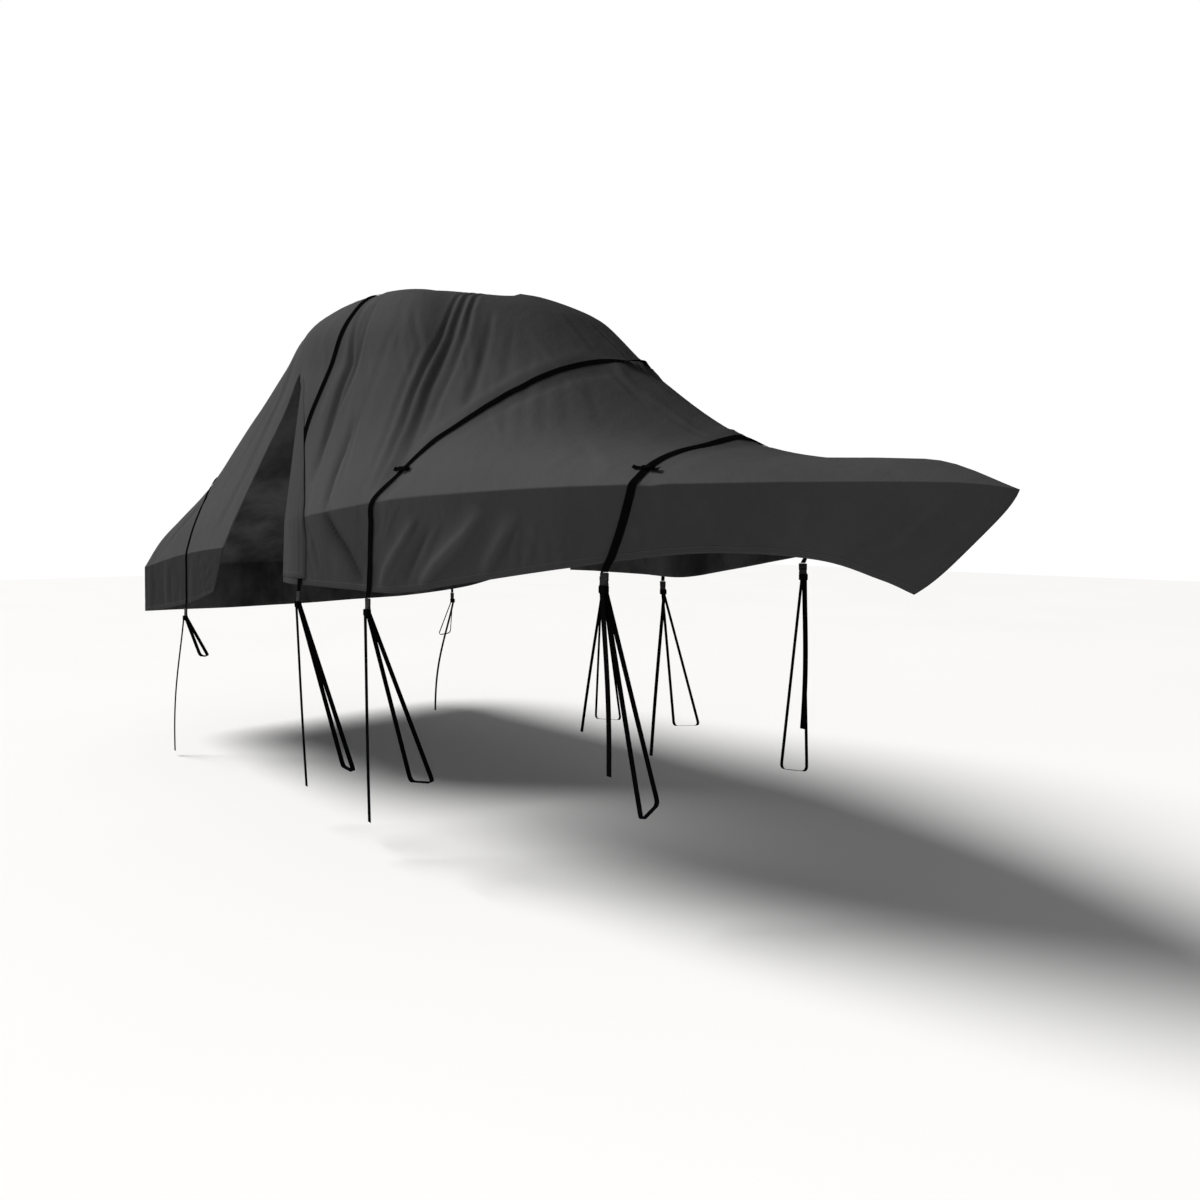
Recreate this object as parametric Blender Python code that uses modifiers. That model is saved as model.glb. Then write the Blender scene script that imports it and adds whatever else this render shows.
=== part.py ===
"""Boat cover, in metres, +X to the bow, +Z up.

One hollow cloth falls from a crowned top to the side, breaks over the sheer and ends in a hem.
A wedge is left open on each side, aft of the top. Four straps cross the cloth from side to side,
and each ends in a buckle with a tie loop and a free tail. The cloth is worked out from gore lines:
each runs from the hem over the sheer and up the roof to the rim of the top, then to the ridge.
"""

import math
from collections import namedtuple

import bmesh
import bpy
import numpy as np
from mathutils import Vector
from mathutils.bvhtree import BVHTree

# The tables measure x forward from the stern and z up from the ground.
MOUNT_X = 3.40
CLOTH = 0.003

Gore = namedtuple("Gore", "sheer hem rim low dip mid high")
# sheer, hem, rim: (x, half width, z) of the gore line there.
# low, dip, mid, high: how far the roof stands out from a straight line between sheer and rim.
FORE_GORES = (
    Gore((6.90, 0.00, 1.940), (6.48, 0.00, 1.53), (4.46, 0.00, 2.98), -0.005, -0.145, -0.235, -0.165),
    Gore((6.75, 0.13, 1.965), (6.38, 0.09, 1.59), (4.44, 0.11, 2.98), -0.025, -0.150, -0.235, -0.160),
    Gore((6.40, 0.36, 1.975), (6.18, 0.26, 1.67), (4.38, 0.24, 2.98), -0.045, -0.140, -0.215, -0.145),
    Gore((5.90, 0.61, 1.980), (5.80, 0.53, 1.69), (4.26, 0.38, 2.97), -0.040, -0.110, -0.170, -0.115),
    Gore((5.30, 0.84, 1.980), (5.27, 0.78, 1.62), (4.08, 0.53, 2.98), -0.020, -0.070, -0.115, -0.090),
    Gore((4.70, 1.00, 1.965), (4.69, 0.96, 1.53), (3.87, 0.66, 3.00), -0.010, -0.042, -0.070, -0.060),
    Gore((4.20, 1.09, 1.945), (4.20, 1.06, 1.46), (3.64, 0.78, 3.02), 0.00, -0.018, -0.035, -0.030),
    Gore((3.75, 1.15, 1.905), (3.75, 1.13, 1.46), (3.36, 0.86, 3.03), 0.00, -0.010, -0.020, -0.015),
    Gore((3.35, 1.18, 1.865), (3.34, 1.16, 1.46), (3.03, 0.91, 3.06), 0.00, -0.005, -0.010, -0.010),
    Gore((3.18, 1.19, 1.845), (3.16, 1.18, 1.46), (2.86, 0.92, 3.06), 0.00, 0.000, 0.000, 0.000),
    Gore((2.97, 1.15, 1.830), (2.92, 1.14, 1.46), (2.78, 0.92, 3.05), 0.00, 0.000, 0.000, 0.000),
)
AFT_GORES = (
    Gore((2.05, 1.20, 1.660), (1.81, 1.19, 1.34), (2.78, 0.91, 3.05), 0.00, -0.015, -0.030, -0.060),
    Gore((1.46, 1.19, 1.620), (1.38, 1.18, 1.25), (2.64, 0.89, 3.03), 0.01, -0.005, -0.030, -0.040),
    Gore((0.85, 1.17, 1.565), (0.83, 1.16, 1.17), (2.55, 0.86, 3.00), 0.02, -0.005, -0.025, 0.000),
    Gore((0.26, 1.16, 1.490), (0.25, 1.15, 1.10), (2.50, 0.84, 2.98), 0.03, -0.005, -0.040, 0.000),
    Gore((-0.13, 1.13, 1.440), (-0.16, 1.12, 1.06), (2.46, 0.78, 2.98), 0.03, -0.005, -0.050, -0.005),
    Gore((-0.22, 0.84, 1.445), (-0.24, 0.84, 1.05), (2.44, 0.58, 3.00), 0.03, -0.010, -0.060, -0.020),
    Gore((-0.23, 0.40, 1.455), (-0.25, 0.40, 1.04), (2.43, 0.29, 3.01), 0.03, -0.015, -0.075, -0.040),
    Gore((-0.23, 0.00, 1.460), (-0.25, 0.00, 1.04), (2.43, 0.00, 3.01), 0.03, -0.015, -0.075, -0.040),
)
ROOF_STOPS = (0.0, 0.12, 0.27, 0.42, 0.75, 1.0)
RIDGE_FORE = (3.82, 3.25)
RIDGE_AFT = (2.90, 3.27)
TOP_Z = RIDGE_AFT[1] + (RIDGE_FORE[1] - RIDGE_AFT[1]) * (
    (MOUNT_X - RIDGE_AFT[0]) / (RIDGE_FORE[0] - RIDGE_AFT[0])
)
RIM_AFT_X = 2.43
RIM_FORE_X = 4.46
CROWN_STOPS = (0.0, 0.14, 0.36, 0.66, 1.0)
# How far the crown has risen at those stops, from the aft rim through the front corner to the
# middle of the fore rim, which lie at these shares of the rim's length.
CROWN_SHARES = (0.0, 0.5, 1.0)
CROWN_RISE = (
    (0.0, 0.38, 0.66, 0.88, 1.0), (0.0, 0.72, 0.94, 0.99, 1.0), (0.0, 0.20, 0.47, 0.76, 1.0),
)
APEX = 0.80  # the wedge closes at this share of the roof

# Columns of the cloth's grids, in gores: closer together where the folds are.
FORE_COLUMNS = np.concatenate(
    [np.linspace(0, 4, 13), np.linspace(4, 8, 41)[1:], np.linspace(8, 10, 9)[1:]]
)
AFT_COLUMNS = np.linspace(0, 7, 22)
# Rows. Levels: 0 hem, 1 sheer, 2 rim, 3 ridge.
LEVELS = np.concatenate(
    [np.linspace(0, 1, 4)[:-1], 1 + np.linspace(0, 1, 11), 2 + np.linspace(0, 1, 5)[1:]]
)
STEM_BULGE = 0.035  # how far the skirt's stem stands out between its ends
STEM_GORES = 1.5

Fold = namedtuple("Fold", "side line width depth")
# line: (gore, level) points, with the aft gores numbered on from the fore ones. width and depth
# in metres, below the cloth when negative. side: -1 starboard, 1 port.
FOLDS = (
    Fold(-1, ((5.4, 2.40), (4.7, 1.95), (5.0, 1.73), (5.4, 1.50), (5.9, 1.18), (6.2, 1.03)), 0.095, -0.024),
    Fold(-1, ((3.7, 2.10), (3.98, 1.82), (4.3, 1.68), (4.6, 1.52)), 0.050, -0.010),
    Fold(-1, ((6.9, 2.10), (7.1, 1.75), (7.4, 1.58), (7.7, 1.35), (7.9, 1.15)), 0.060, -0.016),
    Fold(-1, ((6.85, 1.48), (7.1, 1.30), (7.3, 1.15), (7.44, 0.98)), 0.035, -0.014),
    Fold(-1, ((7.44, 1.00), (7.23, 0.72), (6.95, 0.46), (6.6, 0.08)), 0.050, -0.018),
    Fold(-1, ((5.65, 0.72), (5.98, 0.38), (6.3, 0.04)), 0.055, 0.015),
    Fold(-1, ((4.75, 0.78), (5.0, 0.51), (5.35, 0.26), (5.6, 0.04)), 0.060, 0.016),
    Fold(-1, ((4.45, 0.72), (4.65, 0.40), (4.82, 0.06)), 0.045, 0.010),
    Fold(-1, ((12.2, 0.00), (12.2, 1.00)), 0.050, 0.010),
    Fold(-1, ((13.4, 0.00), (13.4, 0.98)), 0.050, 0.011),
    Fold(-1, ((14.3, 0.00), (14.3, 0.98)), 0.050, 0.010),
    Fold(1, ((5.3, 2.30), (5.0, 1.90), (5.5, 1.45), (6.1, 1.05)), 0.090, -0.020),
    Fold(1, ((6.9, 2.05), (7.2, 1.70), (7.6, 1.25)), 0.070, -0.014),
    Fold(1, ((7.5, 0.98), (7.1, 0.60), (6.8, 0.08)), 0.055, -0.014),
    Fold(1, ((5.2, 0.80), (5.5, 0.40), (5.7, 0.05)), 0.060, 0.014),
    Fold(1, ((12.8, 0.00), (12.8, 0.98)), 0.050, 0.010),
    Fold(1, ((14.0, 0.00), (14.0, 0.98)), 0.050, 0.010),
)
LINE_REACH = 0.25

Strap = namedtuple("Strap", "name ways hem_x core_z")
# ways: (share out, x) from the middle plane, 0, to the sheer, 1. Then x at the hem, and the height
# that the way over the cloth is measured round from.
STRAPS = (
    Strap("aft", ((0.0, 1.35), (1.0, 1.16)), 1.14, 1.25),
    Strap("mid", ((0.0, 3.26), (0.56, 3.26), (0.80, 3.09), (0.87, 3.10), (1.0, 3.28)), 3.25, 1.60),
    Strap(
        "fore",
        ((0.0, 4.90), (0.5, 4.60), (0.7, 4.475), (0.8, 4.39), (0.9, 4.27), (0.95, 4.17), (1.0, 4.03)),
        3.97, 1.60,
    ),
    Strap("bow", ((0.0, 5.59), (1.0, 5.61)), 5.42, 1.65),
)
STRAP_WIDTH = 0.038
STRAP_THICK = 0.002
STRAP_LIFT = 0.005
STRAP_RAYS = 241
HEM_OVERHANG = 0.035
CLEARING_ROUNDS = 6
RAY_REACH = 4.0
STRAP_STEPS = 40

BUCKLE_SIZE = (0.050, 0.014, 0.062)
BUCKLE_EDGE = 0.004
PIECE_GAP = 0.0003

Tie = namedtuple("Tie", "strap outer inner tail tail_sway")
# Lowest points (x, half width, z) of the tie loop's two legs and of the free tail.
TIES = (
    Tie("aft", (1.23, 1.10, 0.82), (1.16, 1.02, 0.80), (0.85, 1.17, 0.04), 0.100),
    Tie("mid", (3.63, 1.02, 0.42), (3.41, 0.98, 0.40), (3.13, 1.08, 0.24), 0.008),
    Tie("fore", (4.42, 0.98, 0.52), (4.20, 0.98, 0.48), (3.90, 1.06, 0.21), 0.006),
    Tie("bow", (5.53, 0.60, 0.52), (5.48, 0.45, 0.55), (5.43, 0.70, 0.71), -0.018),
)
TIE_WIDTH = 0.025
TAIL_WIDTH = 0.032
LEG_GAP = 0.004
LEG_DROP = 0.006
TAIL_OUT = 0.014
CORNER_STEPS = 6
TAIL_STEPS = 13

# A short webbing loop is sewn across these straps at this height, to keep them in place.
GUIDE_HEIGHTS = {"fore": 2.10, "bow": 2.055}
GUIDE_LENGTH = 0.130
GUIDE_WIDTH = 0.024
GUIDE_THICK = 0.002
GUIDE_GAP = 0.002
GUIDE_END_RISE = 0.008
GUIDE_STEPS = 16

CLOTH_LOOK = ((0.045, 0.046, 0.048), 0.85)
WEBBING_LOOK = ((0.010, 0.010, 0.011), 0.80)
BUCKLE_LOOK = ((0.020, 0.020, 0.022), 0.45)


def through(stops, values, at):
    """Smooth curve through values at the stops, as a cubic Hermite with Catmull-Rom tangents."""
    stops = np.asarray(stops, float)
    values = np.asarray(values, float)
    slopes = np.gradient(values, stops, axis=0)
    index = np.clip(np.searchsorted(stops, at, side="right") - 1, 0, len(stops) - 2)
    span = stops[index + 1] - stops[index]
    t = (at - stops[index]) / span
    shape = t.shape + (1,) * (values.ndim - 1)
    t, span = t.reshape(shape), span.reshape(shape)
    start, end = values[index], values[index + 1]
    return (
        (2 * t**3 - 3 * t**2 + 1) * start
        + (t**3 - 2 * t**2 + t) * span * slopes[index]
        + (3 * t**2 - 2 * t**3) * end
        + (t**3 - t**2) * span * slopes[index + 1]
    )


def cloth_surface(gores, at, levels):
    """Point of the cloth at each level (rows) and gore (columns), y taken positive."""
    stops = np.arange(len(gores))
    sheer, hem, rim = (
        through(stops, [getattr(gore, name) for gore in gores], at)
        for name in ("sheer", "hem", "rim")
    )
    stands = through(stops, [(0.0, *gore[3:], 0.0) for gore in gores], at)
    chord = rim - sheer
    run = np.hypot(chord[:, 0], chord[:, 1])
    length = np.hypot(run, chord[:, 2])
    away = np.empty_like(chord)
    away[:, :2] = -chord[:, :2] / run[:, None] * (chord[:, 2] / length)[:, None]
    away[:, 2] = run / length
    roof = [
        sheer + chord * stop + away * stands[:, [i]] for i, stop in enumerate(ROOF_STOPS)
    ]
    ridge = np.zeros_like(rim)
    share = np.clip((rim[:, 0] - RIM_AFT_X) / (RIM_FORE_X - RIM_AFT_X), 0, 1)
    ridge[:, 0] = RIDGE_AFT[0] + (RIDGE_FORE[0] - RIDGE_AFT[0]) * share
    ridge[:, 2] = RIDGE_AFT[1] + (RIDGE_FORE[1] - RIDGE_AFT[1]) * share
    for stop, *rises in list(zip(CROWN_STOPS, *CROWN_RISE))[1:]:
        point = rim + (ridge - rim) * stop
        rise = through(CROWN_SHARES, rises, share)
        point[:, 2] = rim[:, 2] + (ridge[:, 2] - rim[:, 2]) * rise
        roof.append(point)
    knots = 1 + np.concatenate([ROOF_STOPS, 1 + np.asarray(CROWN_STOPS[1:])])
    upper = through(knots, np.stack(roof), levels[levels >= 1])
    up = levels[levels < 1][:, None, None]
    lower = hem + (roof[0] - hem) * up
    if gores is FORE_GORES:
        near_stem = np.clip(1 - at / STEM_GORES, 0, 1)
        lower[..., 0] += STEM_BULGE * near_stem * (1 - (2 * up[..., 0] - 1) ** 4)
    return np.concatenate([lower, upper])


def surface_at(gores, pairs):
    """Points of the cloth at (gore, level) pairs, each gore column sampled at its own level."""
    pairs = np.asarray(pairs, float)
    order = np.argsort(pairs[:, 1])
    grid = cloth_surface(gores, pairs[order, 0], pairs[order, 1])
    points = np.empty((len(pairs), 3))
    points[order] = grid[np.arange(len(pairs)), np.arange(len(pairs))]
    return points


def fold_depth(side, gores, offset, points, normals):
    """Sum of the folds: a bell across each fold's line, faded in and out along it.

    The distance from a line is measured along the cloth, so the part of it that stands off the
    cloth is left out.
    """
    depth = np.zeros(points.shape[:2])
    for fold in FOLDS:
        pairs = np.asarray(fold.line) - (offset, 0)
        if fold.side != side or pairs[:, 0].min() < 0 or pairs[:, 0].max() > len(gores) - 1:
            continue
        line = surface_at(gores, pairs)
        bell = np.zeros(points.shape[:2])
        for index, (start, end) in enumerate(zip(line, line[1:])):
            edge = end - start
            t = np.clip((points - start) @ edge / (edge @ edge), 0, 1)
            gap = points - start - t[..., None] * edge
            off = np.einsum("ijk,ijk->ij", gap, normals)
            apart = np.linalg.norm(gap - off[..., None] * normals, axis=2)
            along = (index + t) / (len(line) - 1)
            fade = np.sqrt(np.clip(4 * along * (1 - along), 0, 1)) * (np.abs(off) < LINE_REACH)
            bell = np.maximum(bell, np.exp(-((apart / fold.width) ** 2)) * fade)
        depth += fold.depth * bell
    return depth


def grid_normals(points):
    """Outward unit normals of a starboard half grid, y taken positive."""
    along = np.gradient(points, axis=1)
    up = np.gradient(points, axis=0)
    normal = np.cross(along, up)
    return normal / np.maximum(np.linalg.norm(normal, axis=2, keepdims=True), 1e-9)


def folded(side, gores, columns, offset):
    """One grid of the cloth with its folds, y taken positive."""
    grid = cloth_surface(gores, columns, LEVELS)
    normals = grid_normals(grid)
    return grid + normals * fold_depth(side, gores, offset, grid, normals)[..., None]


def cloth_panels():
    """The four grids of the cloth (fore and aft, starboard and port), folds and wedge included."""
    closed = LEVELS >= 1 + APEX - 1e-6
    panels = {}
    for side in (-1, 1):
        fore, aft = (
            folded(side, gores, columns, offset)
            for gores, columns, offset in (
                (FORE_GORES, FORE_COLUMNS, 0), (AFT_GORES, AFT_COLUMNS, len(FORE_GORES)),
            )
        )
        meeting = (fore[closed, -1] + aft[closed, 0]) / 2
        fore[closed, -1] = meeting
        aft[closed, 0] = meeting
        fore[:, 0, 1] = 0.0
        aft[:, -1, 1] = 0.0
        for name, grid in (("fore", fore), ("aft", aft)):
            grid[-1, :, 1] = 0.0
            grid[:, :, 1] *= side
            panels[name, side] = grid
    return panels


def placed(point):
    """From the tables' axes to the part's: the origin is the mount under the top."""
    return (point[0] - MOUNT_X, point[1], point[2] - TOP_Z + CLOTH)


def material(name, look):
    made = bpy.data.materials.new(name)
    made.use_nodes = True
    shader = made.node_tree.nodes["Principled BSDF"]
    shader.inputs["Base Color"].default_value = (*look[0], 1.0)
    shader.inputs["Roughness"].default_value = look[1]
    return made


def add_object(name, mesh, finish, collection):
    made = bpy.data.objects.new(name, mesh)
    mesh.materials.append(finish)
    collection.objects.link(made)
    return made


def cloth_mesh():
    """Open outer skin of the cover: the panels' quads, sewn where their edges meet."""
    shape = bmesh.new()
    for (_, side), grid in cloth_panels().items():
        rows = [[shape.verts.new(placed(point)) for point in row] for row in grid]
        for low, high in zip(rows, rows[1:]):
            for a, b, c, d in zip(low, low[1:], high[1:], high):
                shape.faces.new((a, b, c, d) if side > 0 else (d, c, b, a))
    bmesh.ops.remove_doubles(shape, verts=shape.verts, dist=1e-5)
    bmesh.ops.dissolve_degenerate(shape, edges=shape.edges, dist=1e-5)
    mesh = bpy.data.meshes.new("cover_cloth")
    shape.to_mesh(mesh)
    shape.free()
    return mesh


def add_cloth(finish, collection):
    mesh = cloth_mesh()
    mesh.shade_smooth()
    cover = add_object("cover_cloth", mesh, finish, collection)
    wall = cover.modifiers.new("Wall", "SOLIDIFY")
    wall.thickness = CLOTH
    wall.offset = -1.0
    wall.use_even_offset = False
    return mesh


def surface_tree(mesh):
    return BVHTree.FromPolygons(
        [vertex.co for vertex in mesh.vertices], [tuple(face.vertices) for face in mesh.polygons]
    )


def sheer_point(x):
    """Half width and height of the sheer at x."""
    gores = FORE_GORES if x > 2.4 else AFT_GORES[:5]
    ordered = sorted(gores, key=lambda gore: gore.sheer[0])
    xs = [gore.sheer[0] for gore in ordered]
    return tuple(np.interp(x, xs, [gore.sheer[i] for gore in ordered]) for i in (1, 2))


def hem_point(x):
    gores = FORE_GORES if x > 2.4 else AFT_GORES[:5]
    ordered = sorted(gores, key=lambda gore: gore.hem[0])
    xs = [gore.hem[0] for gore in ordered]
    return tuple(np.interp(x, xs, [gore.hem[i] for gore in ordered]) for i in (1, 2))


def taut_radii(angles, radii):
    """Radius at each angle of the tightest band that clears every point: their convex outline."""
    points = np.stack([np.cos(angles) * radii, np.sin(angles) * radii], axis=1)
    hull = []
    for index in range(len(points)):
        while len(hull) > 1:
            first, second = points[hull[-2]], points[hull[-1]]
            turn = np.cross(second - first, points[index] - second)
            if turn > 0:
                break
            hull.pop()
        hull.append(index)
    taut = radii.copy()
    for a, b in zip(hull, hull[1:]):
        edge = points[b] - points[a]
        for index in range(a + 1, b):
            ray = np.array([math.cos(angles[index]), math.sin(angles[index])])
            taut[index] = np.cross(points[a], edge) / np.cross(ray, edge)
    return taut


def strap_edges(strap, tree):
    """Both edges of a strap as points on its taut way over the cloth, hem to hem, and outward rays."""
    reach_y, hem_z = hem_point(strap.hem_x)
    low = math.atan2(hem_z - strap.core_z - HEM_OVERHANG, reach_y)
    angles = np.linspace(low, math.pi - low, STRAP_RAYS)
    picked = np.unique(np.round(np.linspace(0, STRAP_RAYS - 1, STRAP_STEPS + 1)).astype(int))
    edges = []
    for side in (-1, 1):
        cores, rays = [], []
        radii = np.full(len(angles), np.nan)
        for index, angle in enumerate(angles):
            x = strap_x(strap, angle, low)
            ray = Vector((0.0, -math.cos(angle), math.sin(angle)))
            for across in (0.0, 0.25, 0.5):
                core = Vector(placed((x + side * across * STRAP_WIDTH, 0.0, strap.core_z)))
                hit = tree.ray_cast(core + ray * RAY_REACH, -ray, RAY_REACH)
                if hit[0] is not None:
                    radii[index] = np.nanmax([radii[index], (hit[0] - core).length])
            cores.append(core)
            rays.append(ray)
        known = np.where(~np.isnan(radii))[0]
        for index in range(known[0]):
            radii[index] = fall_radius(angles, radii, known[0], index)
        for index in range(known[-1] + 1, len(angles)):
            radii[index] = fall_radius(angles, radii, known[-1], index)
        taut = cleared(angles, taut_radii(angles, radii), picked) + STRAP_LIFT
        edges.append([cores[i] + rays[i] * float(taut[i]) for i in picked])
        outward = [rays[i] for i in picked]
    return edges, outward


def cleared(angles, radii, picked):
    """Raises the picked points until the straight runs between them pass over every other one."""
    raised = radii.copy()
    for _ in range(CLEARING_ROUNDS):
        for a, b in zip(picked, picked[1:]):
            start = polar(angles[a], raised[a])
            end = polar(angles[b], raised[b])
            for index in range(a + 1, b):
                edge = end - start
                ray = polar(angles[index], 1.0)
                short = radii[index] - (start[0] * edge[1] - start[1] * edge[0]) / (
                    ray[0] * edge[1] - ray[1] * edge[0]
                )
                if short > 0:
                    raised[a] += short
                    raised[b] += short
                    start = polar(angles[a], raised[a])
                    end = polar(angles[b], raised[b])
    return raised


def polar(angle, radius):
    return np.array([math.cos(angle), math.sin(angle)]) * radius


def fall_radius(angles, radii, from_index, index):
    """Radius of a point straight below the last one that met the cloth."""
    level = abs(math.cos(angles[from_index])) * radii[from_index]
    return level / max(abs(math.cos(angles[index])), 1e-3)


def strap_x(strap, angle, low):
    """x along a strap: from the ridge out to the sheer, then on to the hem."""
    outs, xs = zip(*strap.ways)
    width, height = sheer_point(xs[-1])
    sheer_angle = math.atan2(height - strap.core_z, width)
    from_level = min(angle, math.pi - angle)
    if from_level < sheer_angle:
        down = (sheer_angle - from_level) / (sheer_angle - low)
        return xs[-1] + (strap.hem_x - xs[-1]) * down
    return float(np.interp(math.cos(from_level) / math.cos(sheer_angle), outs, xs))


def band(points, outward, width_way, width, thick, finish, name, collection):
    """Flat webbing along points: thick stands outward, width lies along width_way."""
    shape = bmesh.new()
    rings = []
    for point, out, way in zip(points, outward, width_way):
        half = way.normalized() * (width / 2)
        depth = out.normalized() * thick
        corners = (point - half, point + half, point + half + depth, point - half + depth)
        rings.append([shape.verts.new(corner) for corner in corners])
    skin_rings(shape, rings)
    mesh = bpy.data.meshes.new(name)
    shape.to_mesh(mesh)
    shape.free()
    return add_object(name, mesh, finish, collection)


def skin_rings(shape, rings):
    """Joins rings of four corners into one closed body and turns its faces outwards."""
    for ring, following in zip(rings, rings[1:]):
        for i in range(4):
            j = (i + 1) % 4
            shape.faces.new((ring[i], ring[j], following[j], following[i]))
    shape.faces.new(rings[0][::-1])
    shape.faces.new(rings[-1])
    bmesh.ops.recalc_face_normals(shape, faces=shape.faces)


def add_strap(strap, tree, finish, collection):
    """One strap from starboard buckle to port buckle, lying on both its edges."""
    edges, outward = strap_edges(strap, tree)
    shape = bmesh.new()
    rings = []
    for left, right, out in zip(*edges, outward):
        depth = out * STRAP_THICK
        corners = (left, right, right + depth, left + depth)
        rings.append([shape.verts.new(corner) for corner in corners])
    skin_rings(shape, rings)
    mesh = bpy.data.meshes.new(f"strap_{strap.name}")
    shape.to_mesh(mesh)
    shape.free()
    add_object(f"strap_{strap.name}", mesh, finish, collection)
    return edges, outward, surface_tree(mesh)


def add_guide(strap_name, side, edges, outward, trees, finish, collection):
    """A short level loop over the strap: near the cloth at both ends, clear of the strap between."""
    height = placed((0, 0, GUIDE_HEIGHTS[strap_name]))[2]
    middles = [(left + right) / 2 for left, right in zip(*edges)]
    if side > 0:
        middles, outward = middles[::-1], outward[::-1]
    index = next(i for i, point in enumerate(middles) if point.z > height)
    step = middles[index] - middles[index - 1]
    centre = middles[index - 1] + step * ((height - middles[index - 1].z) / step.z)
    width_way = (edges[1][index] - edges[0][index]).normalized()
    out = step.cross(width_way).normalized()
    out = out if out.dot(outward[index]) > 0 else -out
    across = Vector((0, 0, 1)).cross(out).normalized()
    along = out.cross(across)
    bases, tops = [], []
    for t in np.linspace(-1, 1, GUIDE_STEPS * 2 + 1):
        bases.append(centre + across * (float(t) * GUIDE_LENGTH / 2))
        found = []
        for edge in np.linspace(-0.5, 0.5, 7):
            start = bases[-1] + along * (float(edge) * GUIDE_WIDTH) + out * GUIDE_LENGTH
            for tree in trees:
                hit = tree.ray_cast(start, -out, GUIDE_LENGTH * 2)
                if hit[0] is not None:
                    found.append((hit[0] - bases[-1]).dot(out))
        tops.append(max(found))
    points = []
    for index in range(0, len(bases), 2):
        level = max(tops[max(index - 2, 0) : index + 3]) + GUIDE_GAP
        from_end = min(index, len(bases) - 1 - index) / GUIDE_STEPS
        level += GUIDE_END_RISE * max(0.0, 1 - from_end * 4) ** 2
        points.append(bases[index] + out * level)
    band(
        points, [out] * len(points), [along] * len(points), GUIDE_WIDTH, GUIDE_THICK, finish,
        f"guide_{strap_name}_{side_name(side)}", collection,
    )


def side_name(side):
    return "starboard" if side < 0 else "port"


def add_buckle(strap_name, side, ends, finish, collection):
    """A flat rounded buckle under the strap's end; returns the middle of its lower face."""
    end = (ends[0] + ends[1]) / 2
    width, depth, height = BUCKLE_SIZE
    centre = end + Vector((0, side * STRAP_THICK / 2, -height / 2 - PIECE_GAP * 3))
    shape = bmesh.new()
    bmesh.ops.create_cube(shape, size=1.0)
    bmesh.ops.scale(shape, vec=(width, depth, height), verts=shape.verts)
    bmesh.ops.bevel(shape, geom=shape.edges[:], offset=BUCKLE_EDGE, segments=1, affect="EDGES")
    bmesh.ops.translate(shape, vec=centre, verts=shape.verts)
    name = f"buckle_{strap_name}_{side_name(side)}"
    mesh = bpy.data.meshes.new(name)
    shape.to_mesh(mesh)
    shape.free()
    add_object(name, mesh, finish, collection)
    return centre - Vector((0, 0, height / 2 + PIECE_GAP * 2))


def tie_loop(tie, side, start, finish, collection):
    """Webbing loop: down the outer leg, across, and up the inner leg."""
    outer = Vector(placed((tie.outer[0], tie.outer[1] * side, tie.outer[2])))
    inner = Vector(placed((tie.inner[0], tie.inner[1] * side, tie.inner[2])))
    apart = (outer - inner).normalized() * LEG_GAP
    drop = Vector((0, 0, -LEG_DROP))
    corners = [start + apart + drop, outer, inner, start - apart + drop]
    points = rounded_path(corners, 0.030, CORNER_STEPS)
    normal = (outer - start).cross(inner - start).normalized()
    outward = []
    for before, after in path_neighbours(points):
        outward.append((after - before).cross(normal).normalized())
    way = [normal] * len(points)
    band(
        points, outward, way, TIE_WIDTH, STRAP_THICK, finish,
        f"tie_{tie.strap}_{side_name(side)}", collection,
    )


def path_neighbours(points):
    last = len(points) - 1
    return [(points[max(i - 1, 0)], points[min(i + 1, last)]) for i in range(len(points))]


def rounded_path(corners, radius, steps):
    """Points along a polyline whose inner corners are rounded with quadratic arcs."""
    points = [corners[0]]
    for before, corner, after in zip(corners, corners[1:], corners[2:]):
        start = corner + (before - corner).normalized() * radius
        end = corner + (after - corner).normalized() * radius
        for t in np.linspace(0, 1, steps):
            points.append(start * (1 - t) ** 2 + corner * 2 * t * (1 - t) + end * t**2)
    points.append(corners[-1])
    return points


def free_tail(tie, side, start, finish, collection):
    """The strap's spare end, hanging beside the loop with a light sway."""
    end = Vector(placed((tie.tail[0], tie.tail[1] * side, tie.tail[2])))
    outside = Vector((0, side * TAIL_OUT, -LEG_DROP))
    points = []
    for t in np.linspace(0, 1, TAIL_STEPS + 1):
        sway = math.sin(t * math.pi) * tie.tail_sway * math.sqrt(t)
        points.append(start + outside + (end - start - outside) * t + Vector((-sway, 0, 0)))
    outward = [Vector((0, side, 0))] * len(points)
    way = [Vector((1, 0, 0))] * len(points)
    band(
        points, outward, way, TAIL_WIDTH, STRAP_THICK, finish,
        f"tail_{tie.strap}_{side_name(side)}", collection,
    )


def main():
    for existing in list(bpy.data.objects):
        bpy.data.objects.remove(existing, do_unlink=True)
    collection = bpy.data.collections.new("Boat cover")
    bpy.context.scene.collection.children.link(collection)
    cloth = material("Cover cloth", CLOTH_LOOK)
    webbing = material("Webbing", WEBBING_LOOK)
    moulded = material("Buckle", BUCKLE_LOOK)
    tree = surface_tree(add_cloth(cloth, collection))
    ties = {tie.strap: tie for tie in TIES}
    for strap in STRAPS:
        edges, outward, strap_tree = add_strap(strap, tree, webbing, collection)
        for side, end in ((-1, 0), (1, -1)):
            start = add_buckle(
                strap.name, side, (edges[0][end], edges[1][end]), moulded, collection
            )
            tie_loop(ties[strap.name], side, start, webbing, collection)
            free_tail(ties[strap.name], side, start, webbing, collection)
            if strap.name in GUIDE_HEIGHTS:
                trees = (tree, strap_tree)
                add_guide(strap.name, side, edges, outward, trees, webbing, collection)


main()
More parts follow.
